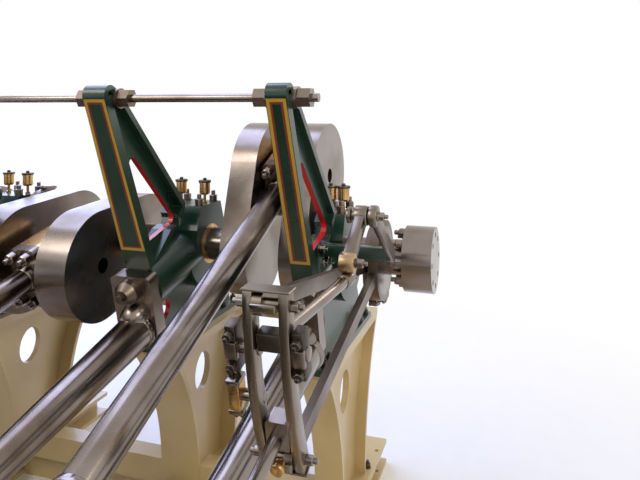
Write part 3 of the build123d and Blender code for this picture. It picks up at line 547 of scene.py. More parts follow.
def rod(start, end, radius, sides=20, edge=0.0):
    run = Vector(end) - Vector(start)
    bpy.ops.mesh.primitive_cylinder_add(vertices=sides, radius=radius, depth=run.length)
    bar = bpy.context.object
    if edge:
        bevelled(bar, edge, 2)
    bar.matrix_world = facing((Vector(start) + Vector(end)) / 2, run)
    return bar


def cone(start, end, startRadius, endRadius, edge):
    run = Vector(end) - Vector(start)
    bpy.ops.mesh.primitive_cone_add(vertices=64, radius1=startRadius, radius2=endRadius, depth=run.length)
    body = bpy.context.object
    bevelled(body, edge, 3)
    body.matrix_world = facing((Vector(start) + Vector(end)) / 2, run)
    return body


def spread(template, places):
    # Copies of a template, each with its own mesh, joined into one object
    copies = []
    for place, direction, turn in places:
        copy = template.copy()
        copy.data = template.data.copy()
        copy.matrix_world = facing(place, direction, turn)
        bpy.context.scene.collection.objects.link(copy)
        copies.append(copy)
    return joined(copies)


def ring(centre, normal, radius, count, phase=0.0):
    base = facing(centre, normal)
    places = []
    for i in range(count):
        angle = phase + 2 * math.pi * i / count
        spot = base @ Vector((radius * math.cos(angle), radius * math.sin(angle), 0))
        places.append((spot, normal, angle))
    return places


# A nut's proportions, as shares of its width across the flats
nutShape = {
    "seat": 0.08,
    "washerRadius": 0.62,
    "washerHeight": 0.1,
    "studRadius": 0.28,
    "chamfer": 0.07,
    "studChamfer": 0.05,
}


def makeNut(across, height, stud):
    # Hexagon nut with chamfered corners, a washer below and the stud's end above
    seat = nutShape["seat"] * across
    bpy.ops.mesh.primitive_cylinder_add(vertices=6, radius=across / math.sqrt(3), depth=height,
                                        location=(0, 0, height / 2 + seat))
    nut = bpy.context.object
    bevelled(nut, nutShape["chamfer"] * across, 1)
    thick = nutShape["washerHeight"] * across
    bpy.ops.mesh.primitive_cylinder_add(vertices=20, radius=nutShape["washerRadius"] * across, depth=thick,
                                        location=(0, 0, thick / 2))
    washer = bpy.context.object
    bpy.ops.mesh.primitive_cylinder_add(vertices=14, radius=nutShape["studRadius"] * across,
                                        depth=height + stud, location=(0, 0, (height + stud) / 2 + seat))
    end = bpy.context.object
    bevelled(end, nutShape["studChamfer"] * across, 1)
    nut = joined([nut, washer, end])
    bpy.ops.object.transform_apply(location=True, rotation=True, scale=True)
    return nut


def nutSet(name, size, places, material):
    template = makeNut(size["across"], size["height"], size["stud"])
    group = spread(template, places)
    bpy.data.objects.remove(template, do_unlink=True)
    return settle(group, name, material, smooth=30)


# Ochre and red lining on the front faces of the main frames
lining = {
    "edge": 0.006,
    "ochreWidth": 0.029,
    "redWidth": 0.021,
    "length": 1.58,
    "proud": 0.0012,
    "innerTop": 0.115,
    "innerFoot": 0.1405,
    "outerTop": 0.0925,
    "outerFoot": 0.1006,
    "lean": math.radians(21.79),
    "head": (-1.7346, 4.6166),
}


def onFrontFace(x, offset, drop):
    y, z = lining["head"]
    away = Vector((0, -math.cos(lining["lean"]), -math.sin(lining["lean"]))) * lining["proud"]
    down = Vector((0, math.sin(lining["lean"]), -math.cos(lining["lean"]))) * drop
    return Vector((x + offset, y, z)) + away + down


def liningRing(x, top, foot, inset, width):
    # A plane shaped to the face, inset once, its middle removed
    bpy.ops.mesh.primitive_plane_add(size=2, location=(0, 0, 0))
    strip = bpy.context.object
    for vert in strip.data.vertices:
        atTop = vert.co.y > 0
        drop = inset if atTop else lining["length"] - inset
        offset = math.copysign((top if atTop else foot) - inset, vert.co.x)
        vert.co = onFrontFace(x, offset, drop)
    only(strip)
    bpy.ops.object.mode_set(mode="EDIT")
    bpy.ops.mesh.select_all(action="SELECT")
    bpy.ops.mesh.inset(thickness=width, depth=0)
    bpy.ops.mesh.delete(type="FACE")
    bpy.ops.mesh.select_all(action="SELECT")
    bpy.ops.object.mode_set(mode="OBJECT")
    return strip


for name, material, inset, width in (
    ("ochreLining", ochreMat, lining["edge"], lining["ochreWidth"]),
    ("redLining", redMat, lining["edge"] + lining["ochreWidth"], lining["redWidth"]),
):
    rings = []
    for x in frameX:
        place = "inner" if isInner(x) else "outer"
        rings.append(liningRing(x, lining[place + "Top"], lining[place + "Foot"], inset, width))
    settle(joined(rings), name, material)
print("lining ready")

# Sizes of the nuts
capNut = {"across": 0.085, "height": 0.07, "stud": 0.05}
footNut = {"across": 0.062, "height": 0.048, "stud": 0.03}
coverNut = {"across": 0.05, "height": 0.04, "stud": 0.022}
smallNut = {"across": 0.034, "height": 0.028, "stud": 0.014}
rodNut = {"across": 0.105, "height": 0.085, "stud": 0.05}

# Nuts on the bearing caps
bearingCap = {"seat": 3.45, "reach": 0.165, "inset": 0.06, "innerHalf": 0.23, "outerHalf": 0.15,
              "nutTurn": 0.3}


def capHalf(x):
    return bearingCap["innerHalf"] if isInner(x) else bearingCap["outerHalf"]


places = []
for x in frameX:
    for sideways in (-1, 1):
        for y in (-bearingCap["reach"], bearingCap["reach"]):
            spot = Vector((x + sideways * (capHalf(x) - bearingCap["inset"]), y, bearingCap["seat"]))
            places.append((spot, up, bearingCap["nutTurn"] * sideways))
nutSet("capNuts", capNut, places, steelMat)

# Nuts on the feet of the frames and pedestals
frameFoot = {"seat": 2.11, "reach": 0.1, "rows": (-0.76, -0.62, 0.55, 0.82)}
pedestalFoot = {"seat": 0.35, "columns": (-0.15, -0.05, 0.05, 0.15), "rows": (-0.385, 0.735)}
places = []
for x in frameX:
    for sideways in (-1, 1):
        for y in frameFoot["rows"]:
            places.append((Vector((x + sideways * frameFoot["reach"], y, frameFoot["seat"])), up, y))
    for offset in pedestalFoot["columns"]:
        for y in pedestalFoot["rows"]:
            places.append((Vector((x + offset, y, pedestalFoot["seat"])), up, offset))
nutSet("footNuts", footNut, places, darkMat)

# Nuts on the covers of the cylinders and valve chests
cylinderRadius = {"high": 0.38, "low": 0.87, "middle": 0.57}
coverCount = {"high": 20, "low": 40, "middle": 28}
chestRadius = {"high": 0.26, "middle": 0.30}
coverSeat = {
    "front": 5.70,
    "back": 8.12,
    "proud": 0.033,
    "gland": 5.52,
    "glandRadius": 0.122,
    "glandNuts": 6,
    "chestFront": 5.80,
    "chestBack": 8.02,
    "chestInset": 0.015,
    "chestNuts": 14,
    "boxFront": 5.86,
    "boxBack": 7.96,
    "boxTop": 1.275,
    "boxSide": 0.865,
    "boxSideLifts": (0.78, 0.95, 1.12),
    "boxRow": -0.765,
    "boxPitch": 0.17,
    "boxNuts": 10,
    "chairReach": 0.075,
    "chairRow": 6.1,
    "chairPitch": 0.37,
    "chairNuts": 5,
    "chairLift": -0.07,
}
places = []
for line, radius in cylinderRadius.items():
    reach, count = radius + coverSeat["proud"], coverCount[line]
    places += ring(onAxis(lineX[line], coverSeat["front"]), toShaft, reach, count)
    places += ring(onAxis(lineX[line], coverSeat["back"]), toCylinders, reach, count)
    places += ring(onAxis(lineX[line], coverSeat["gland"]), toShaft,
                   coverSeat["glandRadius"], coverSeat["glandNuts"])
for line, radius in chestRadius.items():
    reach, count = radius - coverSeat["chestInset"], coverSeat["chestNuts"]
    places += ring(onAxis(gearX[line], coverSeat["chestFront"], spindleLift), toShaft, reach, count)
    places += ring(onAxis(gearX[line], coverSeat["chestBack"], spindleLift), toCylinders, reach, count)
for i in range(coverSeat["boxNuts"]):
    x = coverSeat["boxRow"] + coverSeat["boxPitch"] * i
    places.append((onAxis(x, coverSeat["boxFront"], coverSeat["boxTop"]), toShaft, x))
    places.append((onAxis(x, coverSeat["boxBack"], coverSeat["boxTop"]), toCylinders, x))
for x in (-coverSeat["boxSide"], coverSeat["boxSide"]):
    for lift in coverSeat["boxSideLifts"]:
        places.append((onAxis(x, coverSeat["boxFront"], lift), toShaft, lift))
        places.append((onAxis(x, coverSeat["boxBack"], lift), toCylinders, lift))
for x in frameX:
    for sideways in (-coverSeat["chairReach"], coverSeat["chairReach"]):
        for i in range(coverSeat["chairNuts"]):
            distance = coverSeat["chairRow"] + coverSeat["chairPitch"] * i
            places.append((onAxis(x + sideways, distance, coverSeat["chairLift"]), upSlope, i))
nutSet("coverNuts", coverNut, places, darkMat)

# Big end bolts, from the brass's back to the tee
bigEnd = {"sideways": 0.085, "reach": 0.245, "back": 0.26, "tee": 0.37, "nutTurn": 0.2}
places = []
for line in lineX:
    pin = crankPin(line)
    run = (gudgeon(line) - pin).normalized()
    across = alongX.cross(run).normalized()
    for sideways in (-bigEnd["sideways"], bigEnd["sideways"]):
        for height in (-bigEnd["reach"], bigEnd["reach"]):
            spot = pin + alongX * sideways + across * height
            places.append((spot - run * bigEnd["back"], -run, bigEnd["nutTurn"]))
            places.append((spot + run * bigEnd["tee"], run, bigEnd["nutTurn"]))
nutSet("bigEndNuts", rodNut, places, steelMat)

# Nuts on the columns' feet and on the shaft's couplings
columnFoot = {"seat": 5.38, "reach": 0.135, "lifts": (-0.415, -0.205), "nutTurn": 0.4}
coupling = {"face": 3.71, "radius": 0.255, "nuts": 8}
places = []
for x in frameX:
    for sideways in (-columnFoot["reach"], columnFoot["reach"]):
        for lift in columnFoot["lifts"]:
            spot = onAxis(x + sideways, columnFoot["seat"], lift)
            places.append((spot, toShaft, columnFoot["nutTurn"]))
for sign in (-1, 1):
    centre = Vector((sign * coupling["face"], 0, shaftZ))
    places += ring(centre, -sign * alongX, coupling["radius"], coupling["nuts"])
nutSet("flangeNuts", capNut, places, steelMat)

# Nuts on the eccentric straps, link blocks and pipe flanges
eccentric = {"throw": 0.12, "advance": 115, "pitch": 0.05, "lug": 0.416, "lugPitch": 0.024,
             "lugHalf": 0.075}
spindleEye = {"face": 2.705, "reach": 0.045, "rise": 0.06}
pipeFlange = {
    "places": ((3.42, 7.33), (-3.42, 7.33), (-3.42, 6.49), (3.42, 6.49)),
    "topLift": 0.68,
    "topRadius": 0.16,
    "lowLift": 0.60,
    "lowRadius": 0.183,
    "nuts": 8,
}
places = []
for line, x in gearX.items():
    for sign in (-1, 1):
        angle = math.radians(crankAngle[line] + sign * eccentric["advance"]) + axisSlope
        beside = x + sign * eccentric["pitch"]
        outward = Vector((0, math.cos(angle), math.sin(angle)))
        centre = Vector((beside, 0, shaftZ)) + outward * eccentric["throw"]
        run = (onAxis(beside, linkDistance, linkLift - sign * linkHalf) - centre).normalized()
        across = alongX.cross(run).normalized()
        for side in (-1, 1):
            for shift in (-eccentric["lugPitch"], eccentric["lugPitch"]):
                spot = centre + across * side * eccentric["lug"] + alongX * shift
                places.append((spot + run * eccentric["lugHalf"], run, 0))
                places.append((spot - run * eccentric["lugHalf"], -run, 0))
    for shift in (-spindleEye["reach"], spindleEye["reach"]):
        for rise in (-spindleEye["rise"], spindleEye["rise"]):
            places.append((onAxis(x + shift, spindleEye["face"], spindleLift + rise), toShaft, 0))
for x, distance in pipeFlange["places"]:
    count = pipeFlange["nuts"]
    for way, lift, radius in ((upSlope, "topLift", "topRadius"), (-upSlope, "lowLift", "lowRadius")):
        centre = onAxis(x, distance, pipeFlange[lift])
        places += ring(centre, way, pipeFlange[radius], count, math.pi / count)
nutSet("gearNuts", smallNut, places, steelMat)

# Nuts on the ends of the link pins
linkPin = {"half": 0.143, "radius": 0.04}
places = []
for x in gearX.values():
    for end in (-linkHalf, linkHalf):
        for sign in (-1, 1):
            spot = onAxis(x + sign * linkPin["half"], linkDistance, linkLift + end)
            places.append((spot, sign * alongX, 0))
nutSet("pinNuts", footNut, places, steelMat)
print("nuts ready")

# Expansion links with square-ended curved bars, their end plates and split trunnion bearings
linkBar = {
    "width": 0.062,
    "depth": 0.11,
    "pitch": 0.113,
    "arcRadius": 2.815,
    "halfAngle": math.radians(12.4),
    "steps": 16,
    "edge": 0.007,
    "plateSize": (0.31, 0.118, 0.014),
    "plateProud": 0.006,
    "spacerSize": (0.166, 0.028, 0.06),
    "spacerPlace": 2.846,
    "spacerShift": 0.012,
}
trunnion = {
    "lift": 0.80,
    "inside": 0.185,
    "outside": 0.245,
    "blockSize": (0.072, 0.11, 0.31),
    "capSize": (0.082, 0.036, 0.115),
    "capReach": 0.058,
    "seamSize": (0.082, 0.118, 0.012),
    "pinRadius": 0.045,
    "pinStart": 0.07,
    "pinPast": 0.05,
    "nut": {"across": 0.055, "height": 0.042, "stud": 0.022},
    "nutRise": 0.102,
    "nutSeat": 0.055,
    "nutTurn": 0.3,
    "crossSize": (0.155, 0.10, 0.12),
    "crossPlace": 2.775,
    "crossLift": 0.87,
}
lowBrass = {
    "lift": 0.455,
    "reach": 0.272,
    "size": (0.084, 0.105, 0.19),
    "capSize": (0.092, 0.115, 0.034),
    "capRise": 0.105,
    "nut": {"across": 0.04, "height": 0.034, "stud": 0.016},
    "nutRise": 0.122,
    "nutReach": 0.022,
    "nutTurn": 0.2,
    "pinRadius": 0.038,
    "pinStart": 0.08,
    "pinShort": 0.02,
    "plugLift": 0.045,
    "plugPlaces": (2.83, 2.90),
    "plugRadius": 0.045,
}


def linkFrame(x, angle):
    # A place on the link's curve: local Y across the bar towards the shaft, Z along it
    swing = Matrix.Rotation(-angle, 4, "X")
    out = Matrix.Translation(toCylinders * linkBar["arcRadius"])
    return Matrix.Translation(onAxis(x, 0, linkLift)) @ swing @ out @ leaning((0, 0, 0), upSlope)


def curvedBar(x):
    # The bar's section, spun about the link's centre of curvature
    bpy.ops.mesh.primitive_plane_add(size=1)
    bar = bpy.context.object
    bar.scale = (linkBar["width"], linkBar["depth"], 1)
    bpy.ops.object.transform_apply(location=False, rotation=False, scale=True)
    bar.matrix_world = linkFrame(x, -linkBar["halfAngle"])
    bpy.ops.object.transform_apply(location=True, rotation=True, scale=True)
    bpy.ops.object.mode_set(mode="EDIT")
    bpy.ops.mesh.select_all(action="SELECT")
    bpy.ops.mesh.spin(steps=linkBar["steps"], angle=2 * linkBar["halfAngle"],
                      center=onAxis(x, 0, linkLift), axis=(1, 0, 0))
    bpy.ops.mesh.select_all(action="SELECT")
    bpy.ops.mesh.remove_doubles(threshold=0.0001)
    bpy.ops.mesh.normals_make_consistent(inside=False)
    bpy.ops.object.mode_set(mode="OBJECT")
    bevelled(bar, linkBar["edge"], 2)
    return bar


bars, plates, blocks, caps, pins, spacers, brasses = [], [], [], [], [], [], []
trunnionPlaces, brassPlaces = [], []
for x in gearX.values():
    for sign in (-1, 1):
        bars.append(curvedBar(x + sign * linkBar["pitch"]))
        reach = trunnion["inside"] if sign * x > 0 else trunnion["outside"]
        centre = onAxis(x + sign * reach, linkDistance, trunnion["lift"])
        blocks.append(box(trunnion["blockSize"], leaning(centre, upSlope), edge=0.012))
        front = leaning(centre + toCylinders * trunnion["capReach"], upSlope)
        caps.append(box(trunnion["capSize"], front, edge=0.008))
        caps.append(box(trunnion["seamSize"], leaning(centre, upSlope), edge=0.003))
        for half in (-1, 1):
            spot = centre + upSlope * half * trunnion["nutRise"] + toCylinders * trunnion["nutSeat"]
            trunnionPlaces.append((spot, toCylinders, trunnion["nutTurn"]))
        start = onAxis(x + sign * trunnion["pinStart"], linkDistance, trunnion["lift"])
        end = centre + alongX * sign * trunnion["pinPast"]
        pins.append(rod(start, end, trunnion["pinRadius"], sides=24, edge=0.006))
    middle = onAxis(x, trunnion["crossPlace"], trunnion["crossLift"])
    blocks.append(box(trunnion["crossSize"], leaning(middle, upSlope), edge=0.012))
    side = -1 if x > 0 else 1
    low = onAxis(x + side * lowBrass["reach"], linkDistance, lowBrass["lift"])
    brasses.append(box(lowBrass["size"], leaning(low, upSlope), edge=0.01))
    for half in (-1, 1):
        cap = leaning(low + upSlope * half * lowBrass["capRise"], upSlope)
        caps.append(box(lowBrass["capSize"], cap, edge=0.008))
        for end in (1, -1):
            spot = low + alongX * half * lowBrass["nutReach"] + upSlope * end * lowBrass["nutRise"]
            brassPlaces.append((spot, end * upSlope, lowBrass["nutTurn"]))
    start = onAxis(x + side * lowBrass["pinStart"], linkDistance, lowBrass["lift"])
    end = low - alongX * side * lowBrass["pinShort"]
    pins.append(rod(start, end, lowBrass["pinRadius"], sides=24, edge=0.006))
    start, end = [onAxis(x, distance, lowBrass["plugLift"]) for distance in lowBrass["plugPlaces"]]
    brasses.append(rod(start, end, lowBrass["plugRadius"], sides=28, edge=0.012))
    for end in (-1, 1):
        proud = Matrix.Translation((0, 0, end * linkBar["plateProud"]))
        seat = linkFrame(x, end * linkBar["halfAngle"]) @ proud
        plates.append(box(linkBar["plateSize"], seat, edge=0.004, segments=1))
        lift = linkLift + end * linkHalf
        ends = [onAxis(x + reach, linkDistance, lift) for reach in (-linkPin["half"], linkPin["half"])]
        bars.append(rod(*ends, linkPin["radius"], sides=24, edge=0.005))
        spot = onAxis(x, linkBar["spacerPlace"], lift + end * linkBar["spacerShift"])
        spacers.append(box(linkBar["spacerSize"], leaning(spot, upSlope), edge=0.012))
linkPiece = settle(joined(bars), "linkBars", barMat)
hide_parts("expansion_links")
settle(joined(plates), "linkPlates", forgedShadedMat)
settle(joined(blocks), "trunnionBlocks", darkMat)
settle(joined(caps), "trunnionCaps", steelMat)
settle(joined(pins), "trunnionPins", turnedMat)
settle(joined(brasses), "linkBrasses", brassMat)
nutSet("linkBrassNuts", lowBrass["nut"], brassPlaces, darkMat)
settle(joined(spacers), "linkSpacers", barMat)
nutSet("trunnionNuts", trunnion["nut"], trunnionPlaces, darkMat)

# Reversing levers on brackets beside the outer frames, and the rods to the links
gearLever = {
    "pivot": (-1.39, 3.66),
    "foot": (-1.82, 3.38),
    "x": 3.59,
    "thickness": 0.085,
    "depth": 0.115,
    "eyeHalf": 0.055,
    "pivotRadius": 0.082,
    "footRadius": 0.074,
    "shaftRadius": 0.043,
    "shaftInside": 0.13,
    "shaftOutside": 0.05,
    "collarRadius": 0.068,
    "collarSpan": (0.12, 0.085),
    "bushHalf": 0.062,
    "bushRadius": 0.079,
    "nutFace": 0.066,
}
leverBracket = {
    "root": (3.0, -0.68, 3.19),
    "reach": 0.10,
    "footSize": (0.035, 0.20, 0.20),
    "footShift": (0.012, -0.02, -0.04),
    "armDepth": 0.10,
    "armHeight": 0.12,
    "uprightSize": (0.055, 0.12),
    "uprightPast": 0.06,
    "bossHalf": 0.034,
    "bossRadius": 0.088,
    "nutFace": 3.028,
    "nutRows": (-0.76, -0.64),
    "nutShift": -0.02,
    "nutHeights": (3.085, 3.215),
}
pullRod = {
    "radius": 0.042,
    "start": (0, 0.05, -0.12),
    "end": (3.47, 2.72, 0.88),
    "stemRadius": 0.036,
    "socketSpan": (-0.02, 0.13),
    "socketRadius": 0.055,
}
levers, brackets, supports, rods, bushes, places = [], [], [], [], [], []
for sign in (-1, 1):
    outward = alongX * sign
    x = sign * gearLever["x"]
    pivot = Vector((x, *gearLever["pivot"]))
    foot = Vector((x, *gearLever["foot"]))
    run = (foot - pivot).normalized()
    size = (gearLever["thickness"], gearLever["depth"], (foot - pivot).length)
    levers.append(box(size, leaning((pivot + foot) / 2, run), edge=0.012))
    for spot, radius in ((pivot, gearLever["pivotRadius"]), (foot, gearLever["footRadius"])):
        half = alongX * gearLever["eyeHalf"]
        levers.append(rod(spot - half, spot + half, radius, sides=36, edge=0.012))
    # Bracket bolted to the frame's web, with an arm up to the pivot
    rootX, rootY, rootZ = leverBracket["root"]
    root = Vector((sign * rootX, rootY, rootZ))
    elbow = Vector((x + sign * leverBracket["reach"], rootY, rootZ))
    top = pivot + outward * leverBracket["reach"]
    lean = (top - elbow).normalized()
    shiftX, shiftY, shiftZ = leverBracket["footShift"]
    seat = root + Vector((sign * shiftX, shiftY, shiftZ))
    brackets.append(box(leverBracket["footSize"], leaning(seat, up), edge=0.008))
    size = (abs(elbow.x - root.x), leverBracket["armDepth"], leverBracket["armHeight"])
    brackets.append(box(size, leaning((root + elbow) / 2, up), edge=0.014))
    size = (*leverBracket["uprightSize"], (top - elbow).length + leverBracket["uprightPast"])
    supports.append(box(size, leaning((top + elbow) / 2, lean), edge=0.012))
    half = alongX * leverBracket["bossHalf"]
    supports.append(rod(top - half, top + half, leverBracket["bossRadius"], sides=40, edge=0.012))
    inside, outside = pivot - outward * gearLever["shaftInside"], top + outward * gearLever["shaftOutside"]
    levers.append(rod(inside, outside, gearLever["shaftRadius"], sides=28, edge=0.008))
    ends = [pivot - outward * reach for reach in gearLever["collarSpan"]]
    levers.append(rod(*ends, gearLever["collarRadius"], sides=32, edge=0.008))
    places.append((top + outward * leverBracket["bossHalf"], outward, 0))
    places.append((foot + outward * gearLever["nutFace"], outward, 0))
    for y in leverBracket["nutRows"]:
        for z in leverBracket["nutHeights"]:
            spot = Vector((sign * leverBracket["nutFace"], y + leverBracket["nutShift"], z))
            places.append((spot, outward, y))
    # Rod from the lever's foot to the middle of the link
    endX, endPlace, endLift = pullRod["end"]
    end = onAxis(sign * endX, endPlace, endLift)
    start = foot + Vector(pullRod["start"])
    levers.append(rod(foot, start, pullRod["stemRadius"], sides=24, edge=0.006))
    pull = (end - start).normalized()
    rods.append(rod(start, end, pullRod["radius"], sides=32))
    ends = [start + pull * reach for reach in pullRod["socketSpan"]]
    rods.append(rod(*ends, pullRod["socketRadius"], sides=32, edge=0.014))
    half = alongX * gearLever["bushHalf"]
    bushes.append(rod(foot - half, foot + half, gearLever["bushRadius"], sides=36, edge=0.02))
leverPiece = settle(joined(levers), "leverArms", forgedShadedMat)
rodPiece = settle(joined(rods), "leverRods", turnedMat)
settle(joined(brackets), "leverBrackets", greenMat)
settle(joined(supports), "leverArmSupports", forgedShadedMat)
settle(joined(bushes), "leverBushes", bronzeMat)
nutSet("leverNuts", footNut, places, steelMat)
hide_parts("reversing_levers")
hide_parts("drag_links")
print("valve gear details ready")

# Turned bodies of the columns, swelling towards the frames and parted at the guide beam
columnBody = {
    "places": (1.205, 3.14, 3.36, 5.25),
    "radii": (0.186, 0.128, 0.125, 0.122),
    "lifts": (-0.36, -0.318, -0.316, -0.312),
    "collarLength": 0.06,
    "collarRadii": (0.205, 0.188),
}
bodies = []
for x in frameX:
    spots = [onAxis(x, place, lift) for place, lift in zip(columnBody["places"], columnBody["lifts"])]
    radii = columnBody["radii"]
    bodies.append(cone(spots[0], spots[1], radii[0], radii[1], edge=0.006))
    bodies.append(cone(spots[2], spots[3], radii[2], radii[3], edge=0.006))
    collarEnd = spots[0] + toCylinders * columnBody["collarLength"]
    bodies.append(cone(spots[0], collarEnd, *columnBody["collarRadii"], edge=0.012))
settle(joined(bodies), "columnBodies", turnedMat)

# Turned bodies of the connecting rods, flared at the big end and the fork
rodBody = {
    "start": 0.372,
    "end": 3.925,
    "radii": (0.1315, 0.134),
    "flareLength": 0.07,
    "bigEndRadii": (0.155, 0.135),
    "forkRadii": (0.137, 0.16),
}
bodies = []
for line in lineX:
    pin = crankPin(line)
    run = (gudgeon(line) - pin).normalized()
    start, end = pin + run * rodBody["start"], pin + run * rodBody["end"]
    flare = run * rodBody["flareLength"]
    bodies.append(cone(start, end, *rodBody["radii"], edge=0.006))
    bodies.append(cone(start, start + flare, *rodBody["bigEndRadii"], edge=0.014))
    bodies.append(cone(end - flare, end, *rodBody["forkRadii"], edge=0.014))
settle(joined(bodies), "rodBodies", turnedMat)

# Dark lids on the oil cups
cupLid = {"radius": 0.071, "height": 0.024, "top": 3.687, "inset": 0.08, "knobRadius": 0.02,
          "knobSpan": (0.02, 0.05)}
lids = []
for x in frameX:
    reach = capHalf(x) - cupLid["inset"]
    for shift in (-reach, reach):
        spot = Vector((x + shift, 0, cupLid["top"]))
        lids.append(rod(spot, spot + up * cupLid["height"], cupLid["radius"], sides=40, edge=0.006))
        ends = [spot + up * rise for rise in cupLid["knobSpan"]]
        lids.append(rod(*ends, cupLid["knobRadius"], sides=20, edge=0.006))
settle(joined(lids), "cupLids", darkMat)

# Lagging bands round the cylinders
laggingBand = {"width": 0.05, "proud": 0.006, "gap": 0.001, "places": (6.02, 6.63, 7.24, 7.84)}
bands = []
for line, radius in cylinderRadius.items():
    for distance in laggingBand["places"]:
        bpy.ops.mesh.primitive_cylinder_add(vertices=96, radius=radius + laggingBand["gap"],
                                            depth=laggingBand["width"], end_fill_type="NOTHING")
        band = bpy.context.object
        thick = band.modifiers.new("thickness", "SOLIDIFY")
        thick.thickness = laggingBand["proud"]
        thick.offset = 1
        bpy.ops.object.modifier_apply(modifier=thick.name)
        band.matrix_world = facing(onAxis(lineX[line], distance), toCylinders)
        bands.append(band)
settle(joined(bands), "laggingBands", brassMat)

# Drain cocks below the cylinders
drainCock = {
    "places": (5.90, 7.96),
    "sideways": 0.11,
    "drop": 0.11,
    "sunk": 0.02,
    "radius": 0.022,
    "nutRadius": 0.03,
    "nutHeight": 0.045,
    "handleHalf": 0.05,
    "handleRadius": 0.016,
}
cocks = []
for line, radius in cylinderRadius.items():
    for distance in drainCock["places"]:
        for sign in (-1, 1):
            x = lineX[line] + sign * drainCock["sideways"]
            top = onAxis(x, distance, drainCock["sunk"] - radius)
            foot = top - upSlope * drainCock["drop"]
            half = alongX * drainCock["handleHalf"]
            cocks.append(rod(top, foot, drainCock["radius"], sides=16, edge=0.003))
            nutEnd = foot - upSlope * drainCock["nutHeight"]
            cocks.append(rod(foot, nutEnd, drainCock["nutRadius"], sides=6, edge=0.004))
            cocks.append(rod(foot - half, foot + half, drainCock["handleRadius"], sides=12, edge=0.003))
settle(joined(cocks), "drainCocks", brassMat)

# Relief valves on the back covers
reliefValve = {"share": 0.5, "heights": (0.05, 0.12, 0.15), "radii": (0.05, 0.032, 0.022)}
valves = []
for line, radius in cylinderRadius.items():
    aside = reliefValve["share"] * radius
    top = onAxis(lineX[line] + aside, coverSeat["back"], aside)
    base, nutTop, tip = [top + toCylinders * height for height in reliefValve["heights"]]
    baseRadius, nutRadius, tipRadius = reliefValve["radii"]
    valves.append(rod(top, base, baseRadius, sides=24, edge=0.006))
    valves.append(rod(top, nutTop, nutRadius, sides=6, edge=0.004))
    valves.append(rod(nutTop, tip, tipRadius, sides=20, edge=0.005))
settle(joined(valves), "reliefValves", brassMat)
print("cylinder details ready")


# Floor and light
def backgroundRays(tree, x, y):
    # 1 for what the camera, a reflection or a clear material sees of the background
    rays = addNode(tree, "ShaderNodeLightPath", x, y)
    seen, glossy = rays.outputs["Is Camera Ray"], rays.outputs["Is Glossy Ray"]
    direct = addMath(tree, x + 200, y, "MAXIMUM", seen, glossy)
    return addMath(tree, x + 400, y, "MAXIMUM", direct, rays.outputs["Is Transmission Ray"])


studioFloor = {
    "size": 80,
    "centre": (0, -3, 0),
    "colour": (0.84, 0.84, 0.83),
    "patch": (0.90, 0.90, 0.89),
    "roughness": 0.8,
    "fadeStart": 6.5,
    "fadeEnd": 12,
}
deselect()
bpy.ops.mesh.primitive_plane_add(size=studioFloor["size"], location=studioFloor["centre"])
floor = bpy.context.object
floor.name = "floor"
floorMat, floorTree, floorShader = newMaterial("floorPaint")
floorGrain = addGroup(floorTree, grainGroup, -600, 0, Scale=3.0, Strength=0.0)
floorTree.links.new(
    mixColour(floorTree, -300, 0, floorGrain.outputs["Value"], studioFloor["colour"], studioFloor["patch"]),
    floorShader.inputs["Base Color"],
)
floorShader.inputs["Roughness"].default_value = studioFloor["roughness"]
# Away from the engine the floor fades into the white background
floorCoords = addNode(floorTree, "ShaderNodeTexCoord", -900, 500)
floorReach = addVectorMath(floorTree, -700, 500, "LENGTH", floorCoords.outputs["Object"])
floorFade = mapValue(floorTree, -500, 500, floorReach.outputs["Value"], 0, 1,
                     studioFloor["fadeStart"], studioFloor["fadeEnd"])
floorSeen = addMath(floorTree, -250, 600, "MULTIPLY", backgroundRays(floorTree, -900, 800), floorFade)
floorGlow = addNode(floorTree, "ShaderNodeEmission", 0, 400)
floorMix = addNode(floorTree, "ShaderNodeMixShader", 500, 300)
floorTree.links.new(floorSeen, floorMix.inputs["Fac"])
floorTree.links.new(floorShader.outputs["BSDF"], floorMix.inputs[1])
floorTree.links.new(floorGlow.outputs["Emission"], floorMix.inputs[2])
floorTree.links.new(floorMix.outputs["Shader"], floorTree.nodes["Material Output"].inputs["Surface"])
floor.data.materials.append(floorMat)


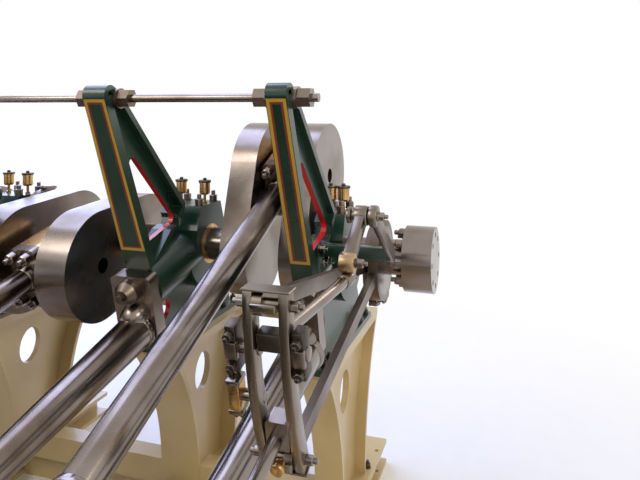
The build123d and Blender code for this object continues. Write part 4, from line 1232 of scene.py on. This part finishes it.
# Lamps, each turned towards a place on the engine
lamps = {
    "keyLight": {"place": (-6, -10, 12), "target": (0, -1, 2.5), "size": 6, "power": 740,
                 "colour": (1, 0.95, 0.90)},
    "fillLight": {"place": (11, -7, 8), "target": (1, -1, 2.5), "size": 5, "power": 520,
                  "colour": (1, 0.90, 0.76)},
    "skyLight": {"place": (-9, 5.5, 6.5), "target": (0.5, -2, 2.5), "size": 9, "power": 1000,
                 "colour": (0.42, 0.51, 1)},
    "roofLight": {"place": (-3, 1, 11), "target": (0.5, -1, 3), "size": 7, "power": 640,
                  "colour": (0.48, 0.58, 1)},
    "backLight": {"place": (6, 9, 8), "target": (0, -1, 3), "size": 5, "power": 380,
                  "colour": (1, 0.93, 0.84)},
}
for name, choices in lamps.items():
    data = bpy.data.lights.new(name, "AREA")
    data.energy = choices["power"]
    data.size = choices["size"]
    data.color = choices["colour"]
    lamp = bpy.data.objects.new(name, data)
    lamp.matrix_world = facing(choices["place"], Vector(choices["place"]) - Vector(choices["target"]))
    bpy.context.scene.collection.objects.link(lamp)

# The world lights the engine by height, from below to above, and is white where it is seen
surroundings = {
    "strength": 0.72,
    "stops": ((0.0, (0.40, 0.32, 0.23)), (0.47, (0.27, 0.22, 0.16)), (0.53, (0.44, 0.37, 0.29)),
              (0.62, (0.74, 0.69, 0.62)), (0.72, (0.36, 0.35, 0.37)), (1.0, (0.85, 0.87, 0.92))),
}
world = bpy.data.worlds.new("studio")
world.use_nodes = True
bpy.context.scene.world = world
sky = world.node_tree
surround = sky.nodes["Background"]
surround.inputs["Strength"].default_value = surroundings["strength"]
white = addNode(sky, "ShaderNodeBackground", 0, -100)
white.inputs["Color"].default_value = (1, 1, 1, 1)
white.inputs["Strength"].default_value = 1
coords = addNode(sky, "ShaderNodeTexCoord", -900, 100)
parts = addNode(sky, "ShaderNodeSeparateXYZ", -700, 100)
heights = addNode(sky, "ShaderNodeValToRGB", -400, 100)
sky.links.new(coords.outputs["Generated"], parts.inputs["Vector"])
sky.links.new(mapValue(sky, -550, 100, parts.outputs["Z"], 0, 1, -1, 1), heights.inputs["Fac"])
ramp = heights.color_ramp
for position, colour in surroundings["stops"][1:-1]:
    ramp.elements.new(position)
for element, (position, colour) in zip(ramp.elements, surroundings["stops"]):
    element.color = (*colour, 1)
sky.links.new(heights.outputs["Color"], surround.inputs["Color"])
choice = addNode(sky, "ShaderNodeMixShader", 250, 0)
sky.links.new(backgroundRays(sky, -500, 400), choice.inputs["Fac"])
sky.links.new(surround.outputs["Background"], choice.inputs[1])
sky.links.new(white.outputs["Background"], choice.inputs[2])
sky.links.new(choice.outputs["Shader"], sky.nodes["World Output"].inputs["Surface"])
print("studio ready")
